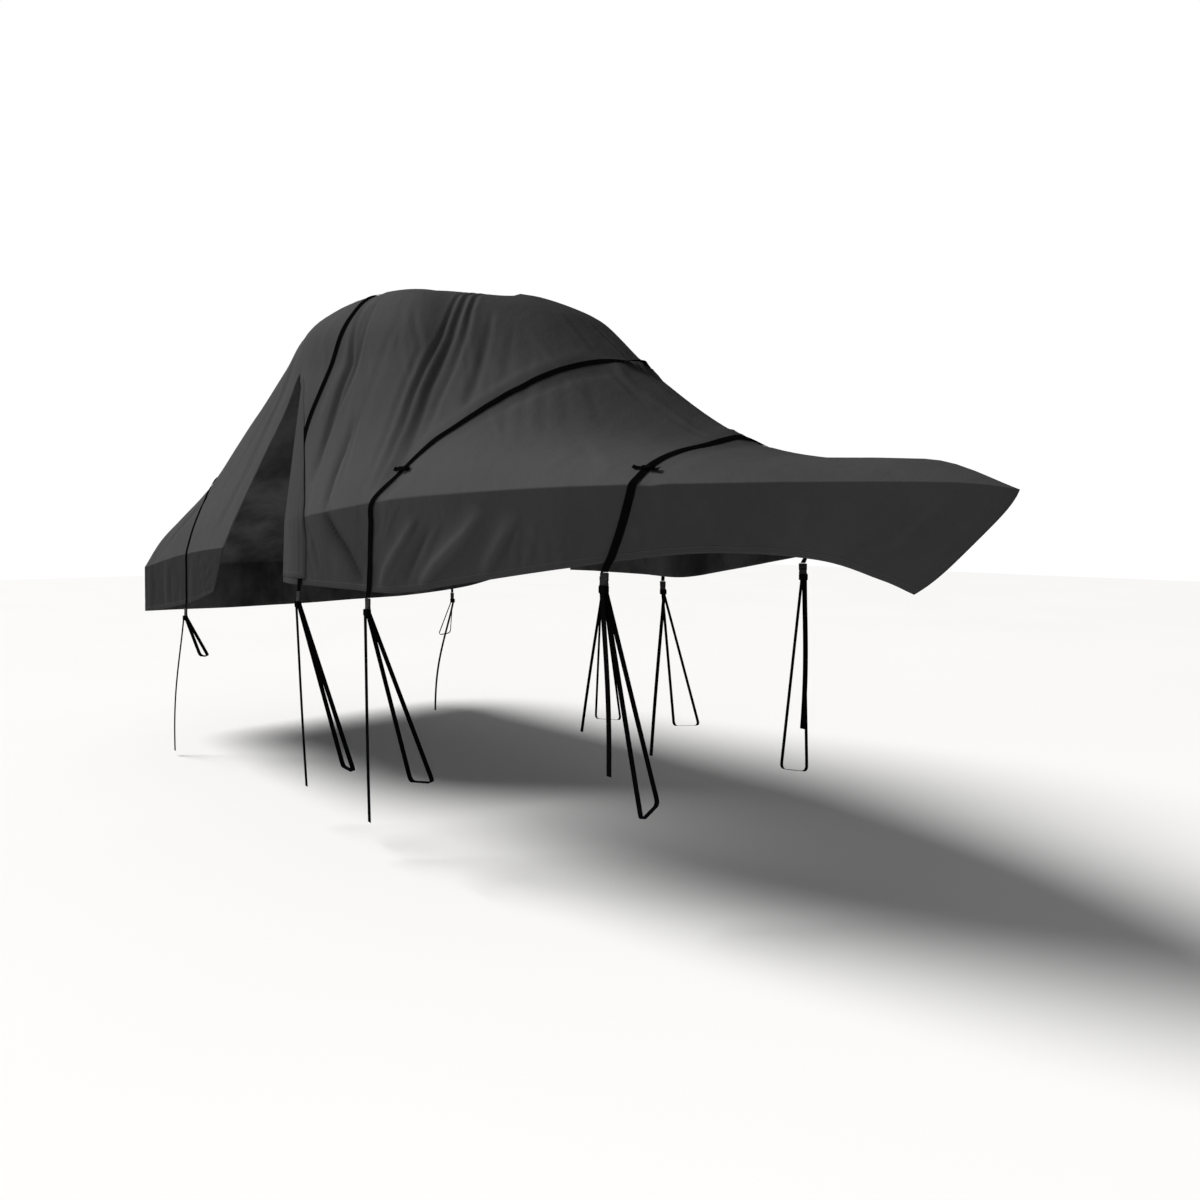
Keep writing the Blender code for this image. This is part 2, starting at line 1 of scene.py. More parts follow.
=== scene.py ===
"""Boat cover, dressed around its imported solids, in metres, +X to the bow, +Z up.

One cloth falls from a crowned top to the side, breaks over the sheer and ends in a hem. Webbing
straps cross it from side to side, and each ends in a buckle with a tie loop and a free tail.
"""

import math
from collections import namedtuple

import bmesh
import bpy
import numpy as np
from bpy.props import FloatProperty, FloatVectorProperty, PointerProperty
from mathutils import Matrix, Vector


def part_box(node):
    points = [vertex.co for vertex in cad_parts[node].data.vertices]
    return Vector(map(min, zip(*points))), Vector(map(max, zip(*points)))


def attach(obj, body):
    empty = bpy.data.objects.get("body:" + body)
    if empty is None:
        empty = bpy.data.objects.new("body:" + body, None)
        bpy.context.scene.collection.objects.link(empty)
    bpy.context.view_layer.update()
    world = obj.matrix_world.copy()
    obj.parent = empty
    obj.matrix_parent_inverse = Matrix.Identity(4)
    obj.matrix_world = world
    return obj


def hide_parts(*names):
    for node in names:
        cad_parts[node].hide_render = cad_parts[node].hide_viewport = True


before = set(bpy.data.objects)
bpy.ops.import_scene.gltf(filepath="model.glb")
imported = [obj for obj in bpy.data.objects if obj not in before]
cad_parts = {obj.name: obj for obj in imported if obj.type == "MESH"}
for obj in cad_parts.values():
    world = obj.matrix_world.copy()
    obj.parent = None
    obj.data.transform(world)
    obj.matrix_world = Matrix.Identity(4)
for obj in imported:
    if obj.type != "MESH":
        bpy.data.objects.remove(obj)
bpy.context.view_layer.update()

bl_info = {
    "name": "Boat cover",
    "version": (1, 0, 0),
    "blender": (4, 5, 0),
    "location": "View3D > Sidebar > Boat cover",
    "description": "Fitted cloth cover with webbing straps, buckles, tie loops and tails",
    "category": "Object",
}

SIDES = {-1: "starboard", 1: "port"}
# The tables measure x forward from the stern and z up from the ground.
MOUNT_X = 3.40
CLOTH = 0.003  # the cloth's thickness in its solid

# Each gore line, fore ones from the bow and aft ones from the wedge: (x, half width, z) of it at
# the sheer, the hem and the rim, then how far the roof stands out from a straight line between
# sheer and rim at the inner ROOF_STOPS.
FORE_GORES = (
    ((6.9, 0, 1.94), (6.48, 0, 1.53), (4.46, 0, 2.98), (-0.005, -0.145, -0.235, -0.165)),
    ((6.75, 0.13, 1.965), (6.38, 0.09, 1.59), (4.44, 0.11, 2.98), (-0.025, -0.15, -0.235, -0.16)),
    ((6.4, 0.36, 1.975), (6.18, 0.26, 1.67), (4.38, 0.24, 2.98), (-0.045, -0.14, -0.215, -0.145)),
    ((5.9, 0.61, 1.98), (5.8, 0.53, 1.69), (4.26, 0.38, 2.97), (-0.04, -0.11, -0.17, -0.115)),
    ((5.3, 0.84, 1.98), (5.27, 0.78, 1.62), (4.08, 0.53, 2.98), (-0.02, -0.07, -0.115, -0.09)),
    ((4.7, 1, 1.965), (4.69, 0.96, 1.53), (3.87, 0.66, 3), (-0.01, -0.042, -0.07, -0.06)),
    ((4.2, 1.09, 1.945), (4.2, 1.06, 1.46), (3.64, 0.78, 3.02), (0, -0.018, -0.035, -0.03)),
    ((3.75, 1.15, 1.905), (3.75, 1.13, 1.46), (3.36, 0.86, 3.03), (0, -0.01, -0.02, -0.015)),
    ((3.35, 1.18, 1.865), (3.34, 1.16, 1.46), (3.03, 0.91, 3.06), (0, -0.005, -0.01, -0.01)),
    ((3.18, 1.19, 1.845), (3.16, 1.18, 1.46), (2.86, 0.92, 3.06), (0, 0, 0, 0)),
    ((2.97, 1.15, 1.83), (2.92, 1.14, 1.46), (2.78, 0.92, 3.05), (0, 0, 0, 0)),
)
AFT_GORES = (
    ((2.05, 1.2, 1.66), (1.81, 1.19, 1.34), (2.78, 0.91, 3.05), (0, -0.015, -0.03, -0.06)),
    ((1.46, 1.19, 1.62), (1.38, 1.18, 1.25), (2.64, 0.89, 3.03), (0.01, -0.005, -0.03, -0.04)),
    ((0.85, 1.17, 1.565), (0.83, 1.16, 1.17), (2.55, 0.86, 3), (0.02, -0.005, -0.025, 0)),
    ((0.26, 1.16, 1.49), (0.25, 1.15, 1.1), (2.5, 0.84, 2.98), (0.03, -0.005, -0.04, 0)),
    ((-0.13, 1.13, 1.44), (-0.16, 1.12, 1.06), (2.46, 0.78, 2.98), (0.03, -0.005, -0.05, -0.005)),
    ((-0.22, 0.84, 1.445), (-0.24, 0.84, 1.05), (2.44, 0.58, 3), (0.03, -0.01, -0.06, -0.02)),
    ((-0.23, 0.4, 1.455), (-0.25, 0.4, 1.04), (2.43, 0.29, 3.01), (0.03, -0.015, -0.075, -0.04)),
    ((-0.23, 0, 1.46), (-0.25, 0, 1.04), (2.43, 0, 3.01), (0.03, -0.015, -0.075, -0.04)),
)
ROOF_STOPS = (0.0, 0.12, 0.27, 0.42, 0.75, 1.0)
RIDGE_FORE = np.array([3.82, 0.0, 3.25])
RIDGE_AFT = np.array([2.90, 0.0, 3.27])
TOP_Z = RIDGE_AFT[2] + (RIDGE_FORE[2] - RIDGE_AFT[2]) * (
    (MOUNT_X - RIDGE_AFT[0]) / (RIDGE_FORE[0] - RIDGE_AFT[0])
)
RIM_AFT_X = 2.43
RIM_FORE_X = 4.46
CROWN_STOPS = (0.0, 0.14, 0.36, 0.66, 1.0)
# How far the crown has risen at those stops, from the aft rim through the front corner to the
# middle of the fore rim, which lie at these shares of the rim's length.
CROWN_SHARES = (0.0, 0.5, 1.0)
CROWN_RISE = (
    (0.0, 0.38, 0.66, 0.88, 1.0), (0.0, 0.72, 0.94, 0.99, 1.0), (0.0, 0.20, 0.47, 0.76, 1.0),
)
APEX = 0.80  # the wedge closes at this share of the roof
WEDGE_STEP = 1.7  # from this level up to the apex the wedge's edges run straight together
GROUND = CLOTH - TOP_Z

# In np.r_, a:b:nj stands for n values from a to b, and unique drops the shared ends.
# Columns of the cloth's grids, in gores: closer together where the creases are.
FORE_COLUMNS = np.unique(np.r_[0:1:7j, 1:4:49j, 4:8:89j, 8:10:19j])
AFT_COLUMNS = np.unique(np.r_[0:4:49j, 4:7:19j])
# Rows. Levels: 0 hem, 1 sheer, 2 rim, 3 ridge. They stand closer at the hem and the sheer.
LEVELS = np.unique(
    np.r_[
        0.0, 0.03, 0.06, 0.10, 0.15:0.94:15j, 0.98, 1.0, 1.004, 1.012, 1.026, 1.045, 1.07,
        1.1:1.5:17j, 1.5:2:29j, 2:2.45:17j, 2.45:3:8j
    ]
)
STEM_BULGE = 0.035  # how far the skirt's stem stands out between its ends
STEM_GORES = 1.5  # the bulge fades out over these
WEDGE_REACH = (1.0, 0.6)  # how many gores beside the wedge move with it, fore and aft

Fold = namedtuple("Fold", "line width depth")
# Rows of folds: width and depth in millimetres, the depth negative below the cloth, then the
# fold's line as gore, level, gore, level and so on, with the aft gores numbered on from the fore
# ones. These are the solid's own folds.
STARBOARD_FOLDS = (
    (95, -24, 5.4, 2.4, 4.7, 1.95, 5, 1.73, 5.4, 1.5, 5.9, 1.18, 6.2, 1.03),
    (50, -10, 3.7, 2.1, 3.98, 1.82, 4.3, 1.68, 4.6, 1.52),
    (60, -16, 6.9, 2.1, 7.1, 1.75, 7.4, 1.58, 7.7, 1.35, 7.9, 1.15),
    (35, -14, 6.85, 1.48, 7.1, 1.3, 7.3, 1.15, 7.44, 0.98),
    (50, -18, 7.44, 1, 7.23, 0.72, 6.95, 0.46, 6.6, 0.08),
    (55, 15, 5.65, 0.72, 5.98, 0.38, 6.3, 0.04),
    (60, 16, 4.75, 0.78, 5, 0.51, 5.35, 0.26, 5.6, 0.04),
    (45, 10, 4.45, 0.72, 4.65, 0.4, 4.82, 0.06),
    (50, 10, 12.2, 0, 12.2, 1),
    (50, 11, 13.4, 0, 13.4, 0.98),
    (50, 10, 14.3, 0, 14.3, 0.98),
)
PORT_FOLDS = (
    (90, -20, 5.3, 2.3, 5, 1.9, 5.5, 1.45, 6.1, 1.05),
    (70, -14, 6.9, 2.05, 7.2, 1.7, 7.6, 1.25),
    (55, -14, 7.5, 0.98, 7.1, 0.6, 6.8, 0.08),
    (60, 14, 5.2, 0.8, 5.5, 0.4, 5.7, 0.05),
    (50, 10, 12.8, 0, 12.8, 0.98),
    (50, 10, 14, 0, 14, 0.98),
)
LINE_REACH = 0.25  # a line folds no cloth that stands further off it than this

# Finer creases, listed one by one in the same terms: each is a trough with soft ridges beside it.
STARBOARD_CREASES = (
    (22, -12, 4.72, 2.5, 4.58, 2.18, 4.6, 2.04, 4.69, 1.96, 4.82, 1.9, 5.23, 1.76, 5.55, 1.59, 5.83,
     1.39, 6.12, 1.2, 6.4, 1.05),
    (26, -14, 4.45, 2.48, 4.33, 2.17, 4.31, 2.06, 4.4, 1.97, 4.57, 1.89, 4.88, 1.79, 5.25, 1.62,
     5.53, 1.42, 5.8, 1.22),
    (23, -11, 4.15, 2.42, 4.05, 2.15, 4.06, 2.04, 4.13, 1.95, 4.3, 1.88, 4.7, 1.73, 5.05, 1.56, 5.4,
     1.34),
    (26, -8, 3.5, 2.05, 3.7, 1.91, 3.98, 1.82, 4.3, 1.68, 4.65, 1.5),
    (28, -4, 3.05, 1.95, 3.48, 1.82, 3.9, 1.63),
    (30, -3, 2.9, 1.85, 3.33, 1.73, 3.6, 1.62),
    (30, -6, 5.6, 2.05, 5.33, 1.83, 5.83, 1.56, 6.18, 1.31, 6.5, 1.08),
    (40, -3, 5.9, 1.96, 6.3, 1.76, 6.62, 1.55, 6.95, 1.32),
    (26, -12, 7.3, 2.25, 7.1, 2.03, 7.15, 1.77, 7.4, 1.62, 7.68, 1.37, 7.85, 1.2),
    (22, -8, 6.8, 2.1, 6.73, 1.92, 7.03, 1.72, 7.35, 1.54, 7.7, 1.32),
    (16, -13, 6.95, 1.4, 7.05, 1.32, 7.2, 1.22, 7.32, 1.12, 7.44, 0.99),
    (18, -6, 6.75, 1.48, 6.88, 1.37, 6.98, 1.24, 7.1, 1.12),
    (18, -12, 7.44, 1, 7.23, 0.72, 6.95, 0.46, 6.62, 0.08),
    (22, 12, 5.6, 0.8, 5.8, 0.59, 6.06, 0.36, 6.34, 0.05),
    (20, -8, 5.42, 0.66, 5.62, 0.42, 5.86, 0.1),
    (26, 14, 4.78, 0.76, 5, 0.51, 5.15, 0.4, 5.35, 0.26, 5.62, 0.05),
    (18, 6, 5.25, 0.74, 5.42, 0.52, 5.56, 0.3),
    (22, 9, 4.45, 0.66, 4.58, 0.46, 4.8, 0.1),
    (16, 7, 4.42, 0.6, 4.48, 0.36, 4.52, 0.08),
    (15, 6, 4.3, 0.58, 4.34, 0.36, 4.4, 0.08),
    (14, 5, 4.2, 0.52, 4.22, 0.3, 4.24, 0.06),
    (13, 5, 4.05, 0.44, 4.12, 0.24, 4.08, 0.05),
    (16, 6, 6.1, 0.92, 6.22, 0.7, 6.4, 0.5),
    (13, 5, 5.9, 0.95, 6.05, 0.78, 6.22, 0.58),
    (18, -5, 6.65, 0.62, 6.5, 0.4, 6.42, 0.2),
    (22, -6, 7.95, 0.86, 7.75, 0.56, 7.6, 0.22),
    (18, -5, 8.05, 0.55, 7.9, 0.3, 7.8, 0.1),
    (24, -3, 4.2, 1.62, 3.98, 1.54, 4.33, 1.26),
    (26, -3.5, 3.5, 1.7, 3.6, 1.62, 4.12, 1.27),
    (25, -3.5, 3.1, 1.72, 3.2, 1.67, 3.85, 1.3),
    (26, -3, 2.75, 1.72, 2.85, 1.68, 3.38, 1.41),
    (30, -3, 2.3, 1.7, 2.43, 1.66, 2.9, 1.44),
    (24, 4, 2.3, 0.86, 2.27, 0.55, 2.23, 0.26),
    (18, 5, 3.55, 0.74, 3.52, 0.4, 3.45, 0.04),
    (20, 3, 3.02, 0.8, 2.96, 0.5, 2.9, 0.2),
    (20, 3, 1.1, 0.8, 1.18, 0.55, 1.24, 0.3),
    (18, 3, 0.52, 0.72, 0.58, 0.5, 0.5, 0.26),
    (18, -6, 14.52, 1, 14.46, 0.12),
    (16, -7, 14.12, 1.01, 13.95, 0.1),
    (18, -6, 13.7, 1.01, 13.57, 0.1),
    (15, -7, 13.3, 1.01, 13.24, 0.1),
    (17, -8, 13, 1, 12.93, 0.08),
    (18, -6, 12.62, 1, 12.57, 0.08),
    (18, -6, 11.95, 1, 11.64, 0.04),
    (16, -6, 11.66, 0.99, 11.4, 0.04),
    (16, -5, 11.45, 0.97, 11.18, 0.06),
    (30, -5, 13.9, 1.04, 13.7, 1.22, 13.4, 1.45),
    (50, -4, 11.75, 1.95, 11.72, 1.76, 11.6, 1.4, 11.5, 1.1),
)
PORT_CREASES = (
    (28, -13, 5.4, 2.5, 4.9, 2.1, 5.1, 1.8, 5.6, 1.5, 6.1, 1.15),
    (26, -10, 4.8, 2.4, 4.5, 2, 4.9, 1.7, 5.3, 1.4),
    (26, -10, 7, 2.15, 7.1, 1.8, 7.4, 1.5, 7.7, 1.2),
    (30, -6, 3.4, 1.75, 3.8, 1.5, 4.1, 1.25),
    (30, -4, 2.6, 1.72, 2.9, 1.55, 3.2, 1.38),
    (18, -10, 7.5, 0.98, 7.2, 0.6, 6.9, 0.1),
    (20, 9, 6, 0.75, 6.2, 0.45, 6.4, 0.08),
    (24, 11, 5, 0.72, 5.2, 0.45, 5.5, 0.08),
    (16, 6, 4.3, 0.58, 4.35, 0.3, 4.4, 0.06),
    (18, -6, 14.4, 1, 14.3, 0.1),
    (16, -7, 13.6, 1, 13.5, 0.1),
    (18, -6, 13, 1, 12.9, 0.1),
    (16, -6, 12.4, 1, 12.4, 0.1),
    (18, -6, 11.6, 0.98, 11.4, 0.06),
)
FOLD_TABLES = {-1: (STARBOARD_FOLDS, STARBOARD_CREASES), 1: (PORT_FOLDS, PORT_CREASES)}
# A crease's width at its line's start and what it gains to the end, as shares of the row's.
CREASE_SPREAD = (0.62, 0.42)
CREASE_FADE = 0.4  # the power of the fade towards the line's ends
# The swells beside it: how far off in widths, how narrow, and how high on either side.
SWELL_AT = 1.7
SWELL_TIGHT = 1.3
SWELL_HEIGHTS = (0.42, 0.22)
# Faint creases drawn at random: how many on a fore and on an aft panel, and their ranges. Starts
# and reach are in levels, lean in gores, width and depth in metres.
FAINT = (34, 22)
FAINT_SEED = 11
FAINT_STARTS = (0.05, 1.05, 1.3, 1.6)
FAINT_REACH = (0.2, 0.6)
FAINT_LEAN = (-0.5, 0.3)
FAINT_WIDTH = (0.018, 0.04)
FAINT_DEPTH = (0.0012, 0.0035)
FAINT_SIGNS = (-1.0, 0.8)
FAINT_TOPS = (0.94, 2.3)  # the highest level on the skirt and above it

# Painted shade by place: how much lighter or darker the cloth is painted, in shares of its own
# colour, to stand in for light and shade on the skirts and the roof.
SKIRT_PAINTED_SHADES = (-0.30, -0.50)  # fore and aft
AFT_PAINTED_SHADE = -0.06
# The next three fade in between the levels and the gores named after them.
HIGH_PAINTED_SHADE = -0.13
HIGH_LEVELS = (1.15, 1.50)
DECK_PAINTED_SHADE = -0.11
DECK_GORES = (3.6, 2.4)
FRONT_PAINTED_SHADE = -0.12
FRONT_LEVELS = (1.35, 1.85)
FRONT_GORES = (5.4, 3.4)
# Painted shade in the folds' troughs and painted light on their ridges, in shares of the cloth's
# colour.
FOLD_PAINTED_SHADE = 9.0  # for each metre of height over the cloth
SKIRT_TOP = 0.99  # the level where the skirt's tone ends

# The front edge of the flap beside the wedge, as (level, gore). A strap runs out of sight under it.
FLAP_EDGE = (
    (0.0, 8.14), (0.66, 8.06), (1.08, 8.12), (1.28, 8.41), (1.50, 8.88), (1.71, 9.45), (1.79, 9.75),
)
FLAP_LEVELS = (0.08, 1.76)
FLAP_COLUMNS = 36
FLAP_GAP = 0.0022
FLAP_OVER = 0.0044  # how far it stands over the strap's inner face
FLAP_LIFT = 0.05  # the most that the strap lifts it
FLAP_REACH = 0.035
# Painted shade on the flap beside the wedge.
FLAP_PAINTED_SHADE = -0.22

Strap = namedtuple("Strap", "name core_z")
# A strap's way over the cloth turns about a line along x at the height core_z.
STRAPS = (Strap("aft", 1.25), Strap("mid", 1.60), Strap("fore", 1.60), Strap("bow", 1.65))
FLAP_STRAP = STRAPS[1]
STRAP_THICK = 0.002
STRAP_STEPS = 320
# The cloth under a strap stays PRESS_GAP below it. The hold fades out beside the strap, from the
# first to the second of PRESS_BESIDE.
PRESS_GAP = 0.003
PRESS_BESIDE = (0.03, 0.11)
PRESS_EDGE = 0.1  # how far beside a strap's middle its slope is followed
PRESS_DROP = 0.06  # the most that the cloth is pressed down
PRESS_LIFT = 0.02
GUIDED = ("fore", "bow")  # the straps that run under guides
GUIDE_CLEAR = 0.04  # the cloth is lifted from this far above a guide
GUIDE_FADE = 0.10
GUIDE_WIDTH = 0.024
GUIDE_STEPS = 40
LAID_GAP = 0.002
LAID_SPAN = (0.06, 0.10)  # narrower gaps are closed, and wider ones are bridged
LAID_RISE = 0.004  # the most that a strap is lifted off its solid
LAID_SLOPE = 1.5  # the steepest slope across
LAID_WINDOW = 9  # steps that the smoothing takes in
LAID_SIDE = 0.016  # how far beside the middle the cloth's slope is read

FOOT_GAP = 0.0006
SEAM_MERGE = 2e-5
BLOCK_MERGE = 1e-6
BUCKLE_SIZE = (0.050, 0.014, 0.062)
# The body's waist in half sizes: how deep, how high and how far it spans.
WAIST = (0.16, 0.25, 0.42)
RAISED_FROM = 0.7  # wear starts at this share of a block's half size
BLOCK_COLUMNS = 32
BLOCK_ROWS = 16
KEEPER_POWER = 0.25
# The sewn sleeve below a buckle, round the tops of the tie's legs and the tail.
KEEPER_SIZE = (0.044, 0.028, 0.036)
KEEPER_OUT = 0.004
KEEPER_DROP = 0.012
# A buckle's blocks: middle x and z in half sizes, then width, depth and height as shares of
# BUCKLE_SIZE. The waisted body, two bars, two arms in two blocks each, tongue, web, three ribs.
BUCKLE_BLOCKS = (
    (0.0, -0.42, 0.98, 0.96, 0.54),
    (0.0, 0.84, 0.98, 0.72, 0.13),
    (0.0, 0.40, 0.86, 0.80, 0.18),
    (-0.86, 0.62, 0.13, 0.66, 0.32),
    (0.86, 0.62, 0.13, 0.66, 0.32),
    (-0.84, 0.10, 0.15, 0.60, 0.34),
    (0.84, 0.10, 0.15, 0.60, 0.34),
    (0.0, 0.14, 0.30, 0.52, 0.26),
    (0.0, 0.46, 0.74, 0.24, 0.44),
    (0.0, -0.30, 0.52, 0.999, 0.035),
    (0.0, -0.44, 0.52, 0.999, 0.035),
    (0.0, -0.58, 0.52, 0.999, 0.035),
)

Tie = namedtuple("Tie", "strap outer inner tail tail_sway")
# Lowest points (x, half width, z) of the tie loop's two legs and of the free tail.
TIES = (
    Tie("aft", (1.23, 1.10, 0.82), (1.16, 1.02, 0.80), (0.85, 1.17, 0.04), 0.100),
    Tie("mid", (3.63, 1.02, 0.42), (3.41, 0.98, 0.40), (3.13, 1.08, 0.24), 0.008),
    Tie("fore", (4.42, 0.98, 0.52), (4.20, 0.98, 0.48), (3.90, 1.06, 0.21), 0.006),
    Tie("bow", (5.53, 0.60, 0.52), (5.48, 0.45, 0.55), (5.43, 0.70, 0.71), -0.018),
)
SHARP_ANGLE = math.radians(55)
TIE_WIDTH = 0.025
TAIL_WIDTH = 0.032
LEG_GAP = 0.004
LEG_DROP = 0.006
TAIL_OUT = 0.014
CORNER_RADIUS = 0.030
CORNER_STEPS = 10
LEG_STEPS = 12
TAIL_STEPS = 30

# The photograph's camera: level, at the cover's starboard bow.
CAMERA_AT = (8.36, -3.324, 1.81)
CAMERA_YAW = math.radians(48.73)
CAMERA_LENS = 27.0
CAMERA_SHIFT_Y = -0.0625
KEY_AT = (-5.2, -4.0, 7.5)
KEY_ANGLE = math.radians(28)
KEY_TINT = (1.0, 0.99, 0.98)
FILL_AT = (6.5, -5.5, 3.5)
FILL_SIZE = 5.0
FILL_TINT = (0.97, 0.98, 1.0)
FLOOR_HALF = 30.0

CLOTH_GREY = (0.066, 0.066, 0.068)
WEBBING_BLACK = (0.0022, 0.0022, 0.0025)
BUCKLE_BLACK = (0.008, 0.008, 0.009)
WEAVE_PITCH = 0.0024
STITCH_PITCH = 0.0075
SEAM_ROW = 0.0065
HEM_ROWS = (0.032, 0.006)
RIB_PITCH = 0.0042
CORD_PITCH = 0.0030


# -------- shader expressions


class Value:
    """A shader socket. Arithmetic on it adds Math nodes to its tree."""

    def __init__(self, graph, socket):
        self.graph = graph
        self.socket = socket

    def math(self, operation, *others):
        return self.graph.math(operation, self, *others)

    def __add__(self, other):
        return self.math("ADD", other)

    __radd__ = __add__

    def __mul__(self, other):
        return self.math("MULTIPLY", other)

    def __sub__(self, other):
        return self.math("SUBTRACT", other)

    def __rsub__(self, other):
        return self.graph.math("SUBTRACT", other, self)

    def __abs__(self):
        return self.math("ABSOLUTE")

    def sine(self):
        return self.math("SINE")

    def clamped(self):
        return self.math("MAXIMUM", 0.0).math("MINIMUM", 1.0)

    def ramp(self, low, high, start=0.0, end=1.0):
        """start below low, end above high, smooth between."""
        inputs = {0: self, 1: low, 2: high, 3: start, 4: end}
        return self.graph.node(
            "ShaderNodeMapRange", {"interpolation_type": "SMOOTHSTEP"}, inputs
        )


class Graph:
    """One material's nodes. node() adds any of them, by type, settings and inputs."""

    def __init__(self, name, roughness, specular=0.5):
        self.material = bpy.data.materials.new(name)
        self.material.use_nodes = True
        self.tree = self.material.node_tree
        self.shader = self.tree.nodes["Principled BSDF"]
        self.shader.inputs["Roughness"].default_value = roughness
        self.shader.inputs["Specular IOR Level"].default_value = specular

    def node(self, kind, settings=None, inputs=None, output=0):
        made = self.tree.nodes.new(kind)
        for key, value in (settings or {}).items():
            setattr(made, key, value)
        for key, value in (inputs or {}).items():
            self.put(made.inputs[key], value)
        return Value(self, made.outputs[output])

    def put(self, socket, value):
        if isinstance(value, Value):
            self.tree.links.new(value.socket, socket)
        elif isinstance(value, tuple) and len(value) == 3 and socket.type == "RGBA":
            socket.default_value = (*value, 1.0)
        else:
            socket.default_value = value

    def math(self, operation, *values):
        return self.node("ShaderNodeMath", {"operation": operation}, dict(enumerate(values)))

    def attribute(self, name):
        return self.node("ShaderNodeAttribute", {"attribute_name": name}, output="Fac")

    def uv(self):
        """The two metre coordinates of a piece's own UV map."""
        place = self.node("ShaderNodeUVMap", {"uv_map": "Surface"})
        u = self.node("ShaderNodeSeparateXYZ", inputs={0: place})
        return u, Value(self, u.socket.node.outputs[1])

    def noise(self, scale, detail, roughness, squash=1.0):
        """Noise over object coordinates whose z is first scaled by squash."""
        at = self.node("ShaderNodeTexCoord", output="Object")
        at = self.node("ShaderNodeMapping", inputs={"Vector": at, "Scale": (1.0, 1.0, squash)})
        inputs = {"Vector": at, "Scale": scale, "Detail": detail, "Roughness": roughness}
        return self.node("ShaderNodeTexNoise", inputs=inputs)

    def mix(self, factor, first, second):
        settings = {"data_type": "RGBA", "blend_type": "MIX"}
        return self.node("ShaderNodeMix", settings, {0: factor, 6: first, 7: second}, output=2)

    def bump(self, height, strength=1.0, normal=None):
        """Bump from a height in metres."""
        inputs = {"Height": height, "Strength": strength, "Distance": 1.0}
        if normal is not None:
            inputs["Normal"] = normal
        return self.node("ShaderNodeBump", inputs=inputs)

    def finish(self, **channels):
        """Feeds the shader's sockets, named with underscores for spaces."""
        for name, value in channels.items():
            self.put(self.shader.inputs[name.replace("_", " ")], value)
        return self.material


def scaled(colour, factor):
    return tuple(min(1.0, part * factor) for part in colour)


def woven(u, v):
    """Warp times weft, each a sine of the weave's pitch."""
    return (u * (math.tau / WEAVE_PITCH)).sine() * (v * (math.tau / WEAVE_PITCH)).sine()


def cloth_material(colour):
    """Coated woven polyester: weave, crinkle, painted shade in troughs with painted light on ridges
    and painted shade by place, flat-felled seams and stitching.
    """
    graph = Graph("Cover cloth", 0.78, 0.06)
    u, v = graph.uv()
    from_seam = graph.attribute("from_seam")
    from_hem = graph.attribute("from_hem")
    weave = woven(u, v)
    cloudy = graph.noise(1.3, 3.0, 0.55)
    blotch = graph.noise(7.0, 3.0, 0.6, 0.55)
    crinkle = graph.noise(9.0, 4.0, 0.62, 0.42)
    rumple = graph.noise(3.2, 2.0, 0.5, 0.35)
    seam_band = from_seam.ramp(0.0085, 0.0105, 1.0, 0.0)
    hem_band = from_hem.ramp(0.034, 0.037, 1.0, 0.0)
    dash = ((u + v) * (math.tau / STITCH_PITCH)).sine().ramp(-0.55, -0.25)
    row = abs(from_seam - SEAM_ROW)
    for at in HEM_ROWS:
        row = row.math("MINIMUM", abs(from_hem - at))
    stitch = row.ramp(0.0008, 0.0014, 1.0, 0.0) * dash
    # Random tone from two noises, plus the painted shade and painted light of the folds and places
    # read from the mark.
    tone = (cloudy - 0.5) * 0.15 + (blotch - 0.5) * 0.10 + graph.attribute("tone") + 0.5
    band = (seam_band + hem_band).clamped()
    body = graph.mix(tone.clamped(), scaled(colour, 0.25), scaled(colour, 1.75))
    body = graph.mix(weave.ramp(-1.0, 1.0) * 0.25, body, scaled(colour, 0.55))
    body = graph.mix(band * 0.2, body, scaled(colour, 0.62))
    body = graph.mix(stitch * 0.5, body, scaled(colour, 1.5))
    rough = 0.80 + (blotch - 0.5) * 0.16 - stitch * 0.1
    wrinkled = graph.bump(crinkle * 0.006 + rumple * 0.016)
    sewn = graph.bump(band * 0.0016 + stitch * 0.0007, normal=wrinkled)
    normal = graph.bump(weave * 0.00012, 0.7, sewn)
    return graph.finish(Base_Color=body, Roughness=rough, Normal=normal)


def lining_material(colour):
    """The coated inner face: smoother, with the weave showing through, and darker, partly from its
    own coat and partly as painted shade inside the cover.
    """
    graph = Graph("Cover cloth, coated side", 0.6, 0.08)
    weave = woven(*graph.uv())
    patch = graph.noise(2.2, 4.0, 0.6, 0.6)
    # Darker than the outer face: the coat's own colour together with painted shade of the cover's
    # inside.
    body = graph.mix(patch.ramp(0.3, 0.7), scaled(colour, 0.18), scaled(colour, 0.9))
    soft = graph.bump(patch * 0.01)
    normal = graph.bump(weave * 0.0001, 0.6, soft)
    return graph.finish(Base_Color=body, Roughness=0.55 + patch * 0.2, Normal=normal)


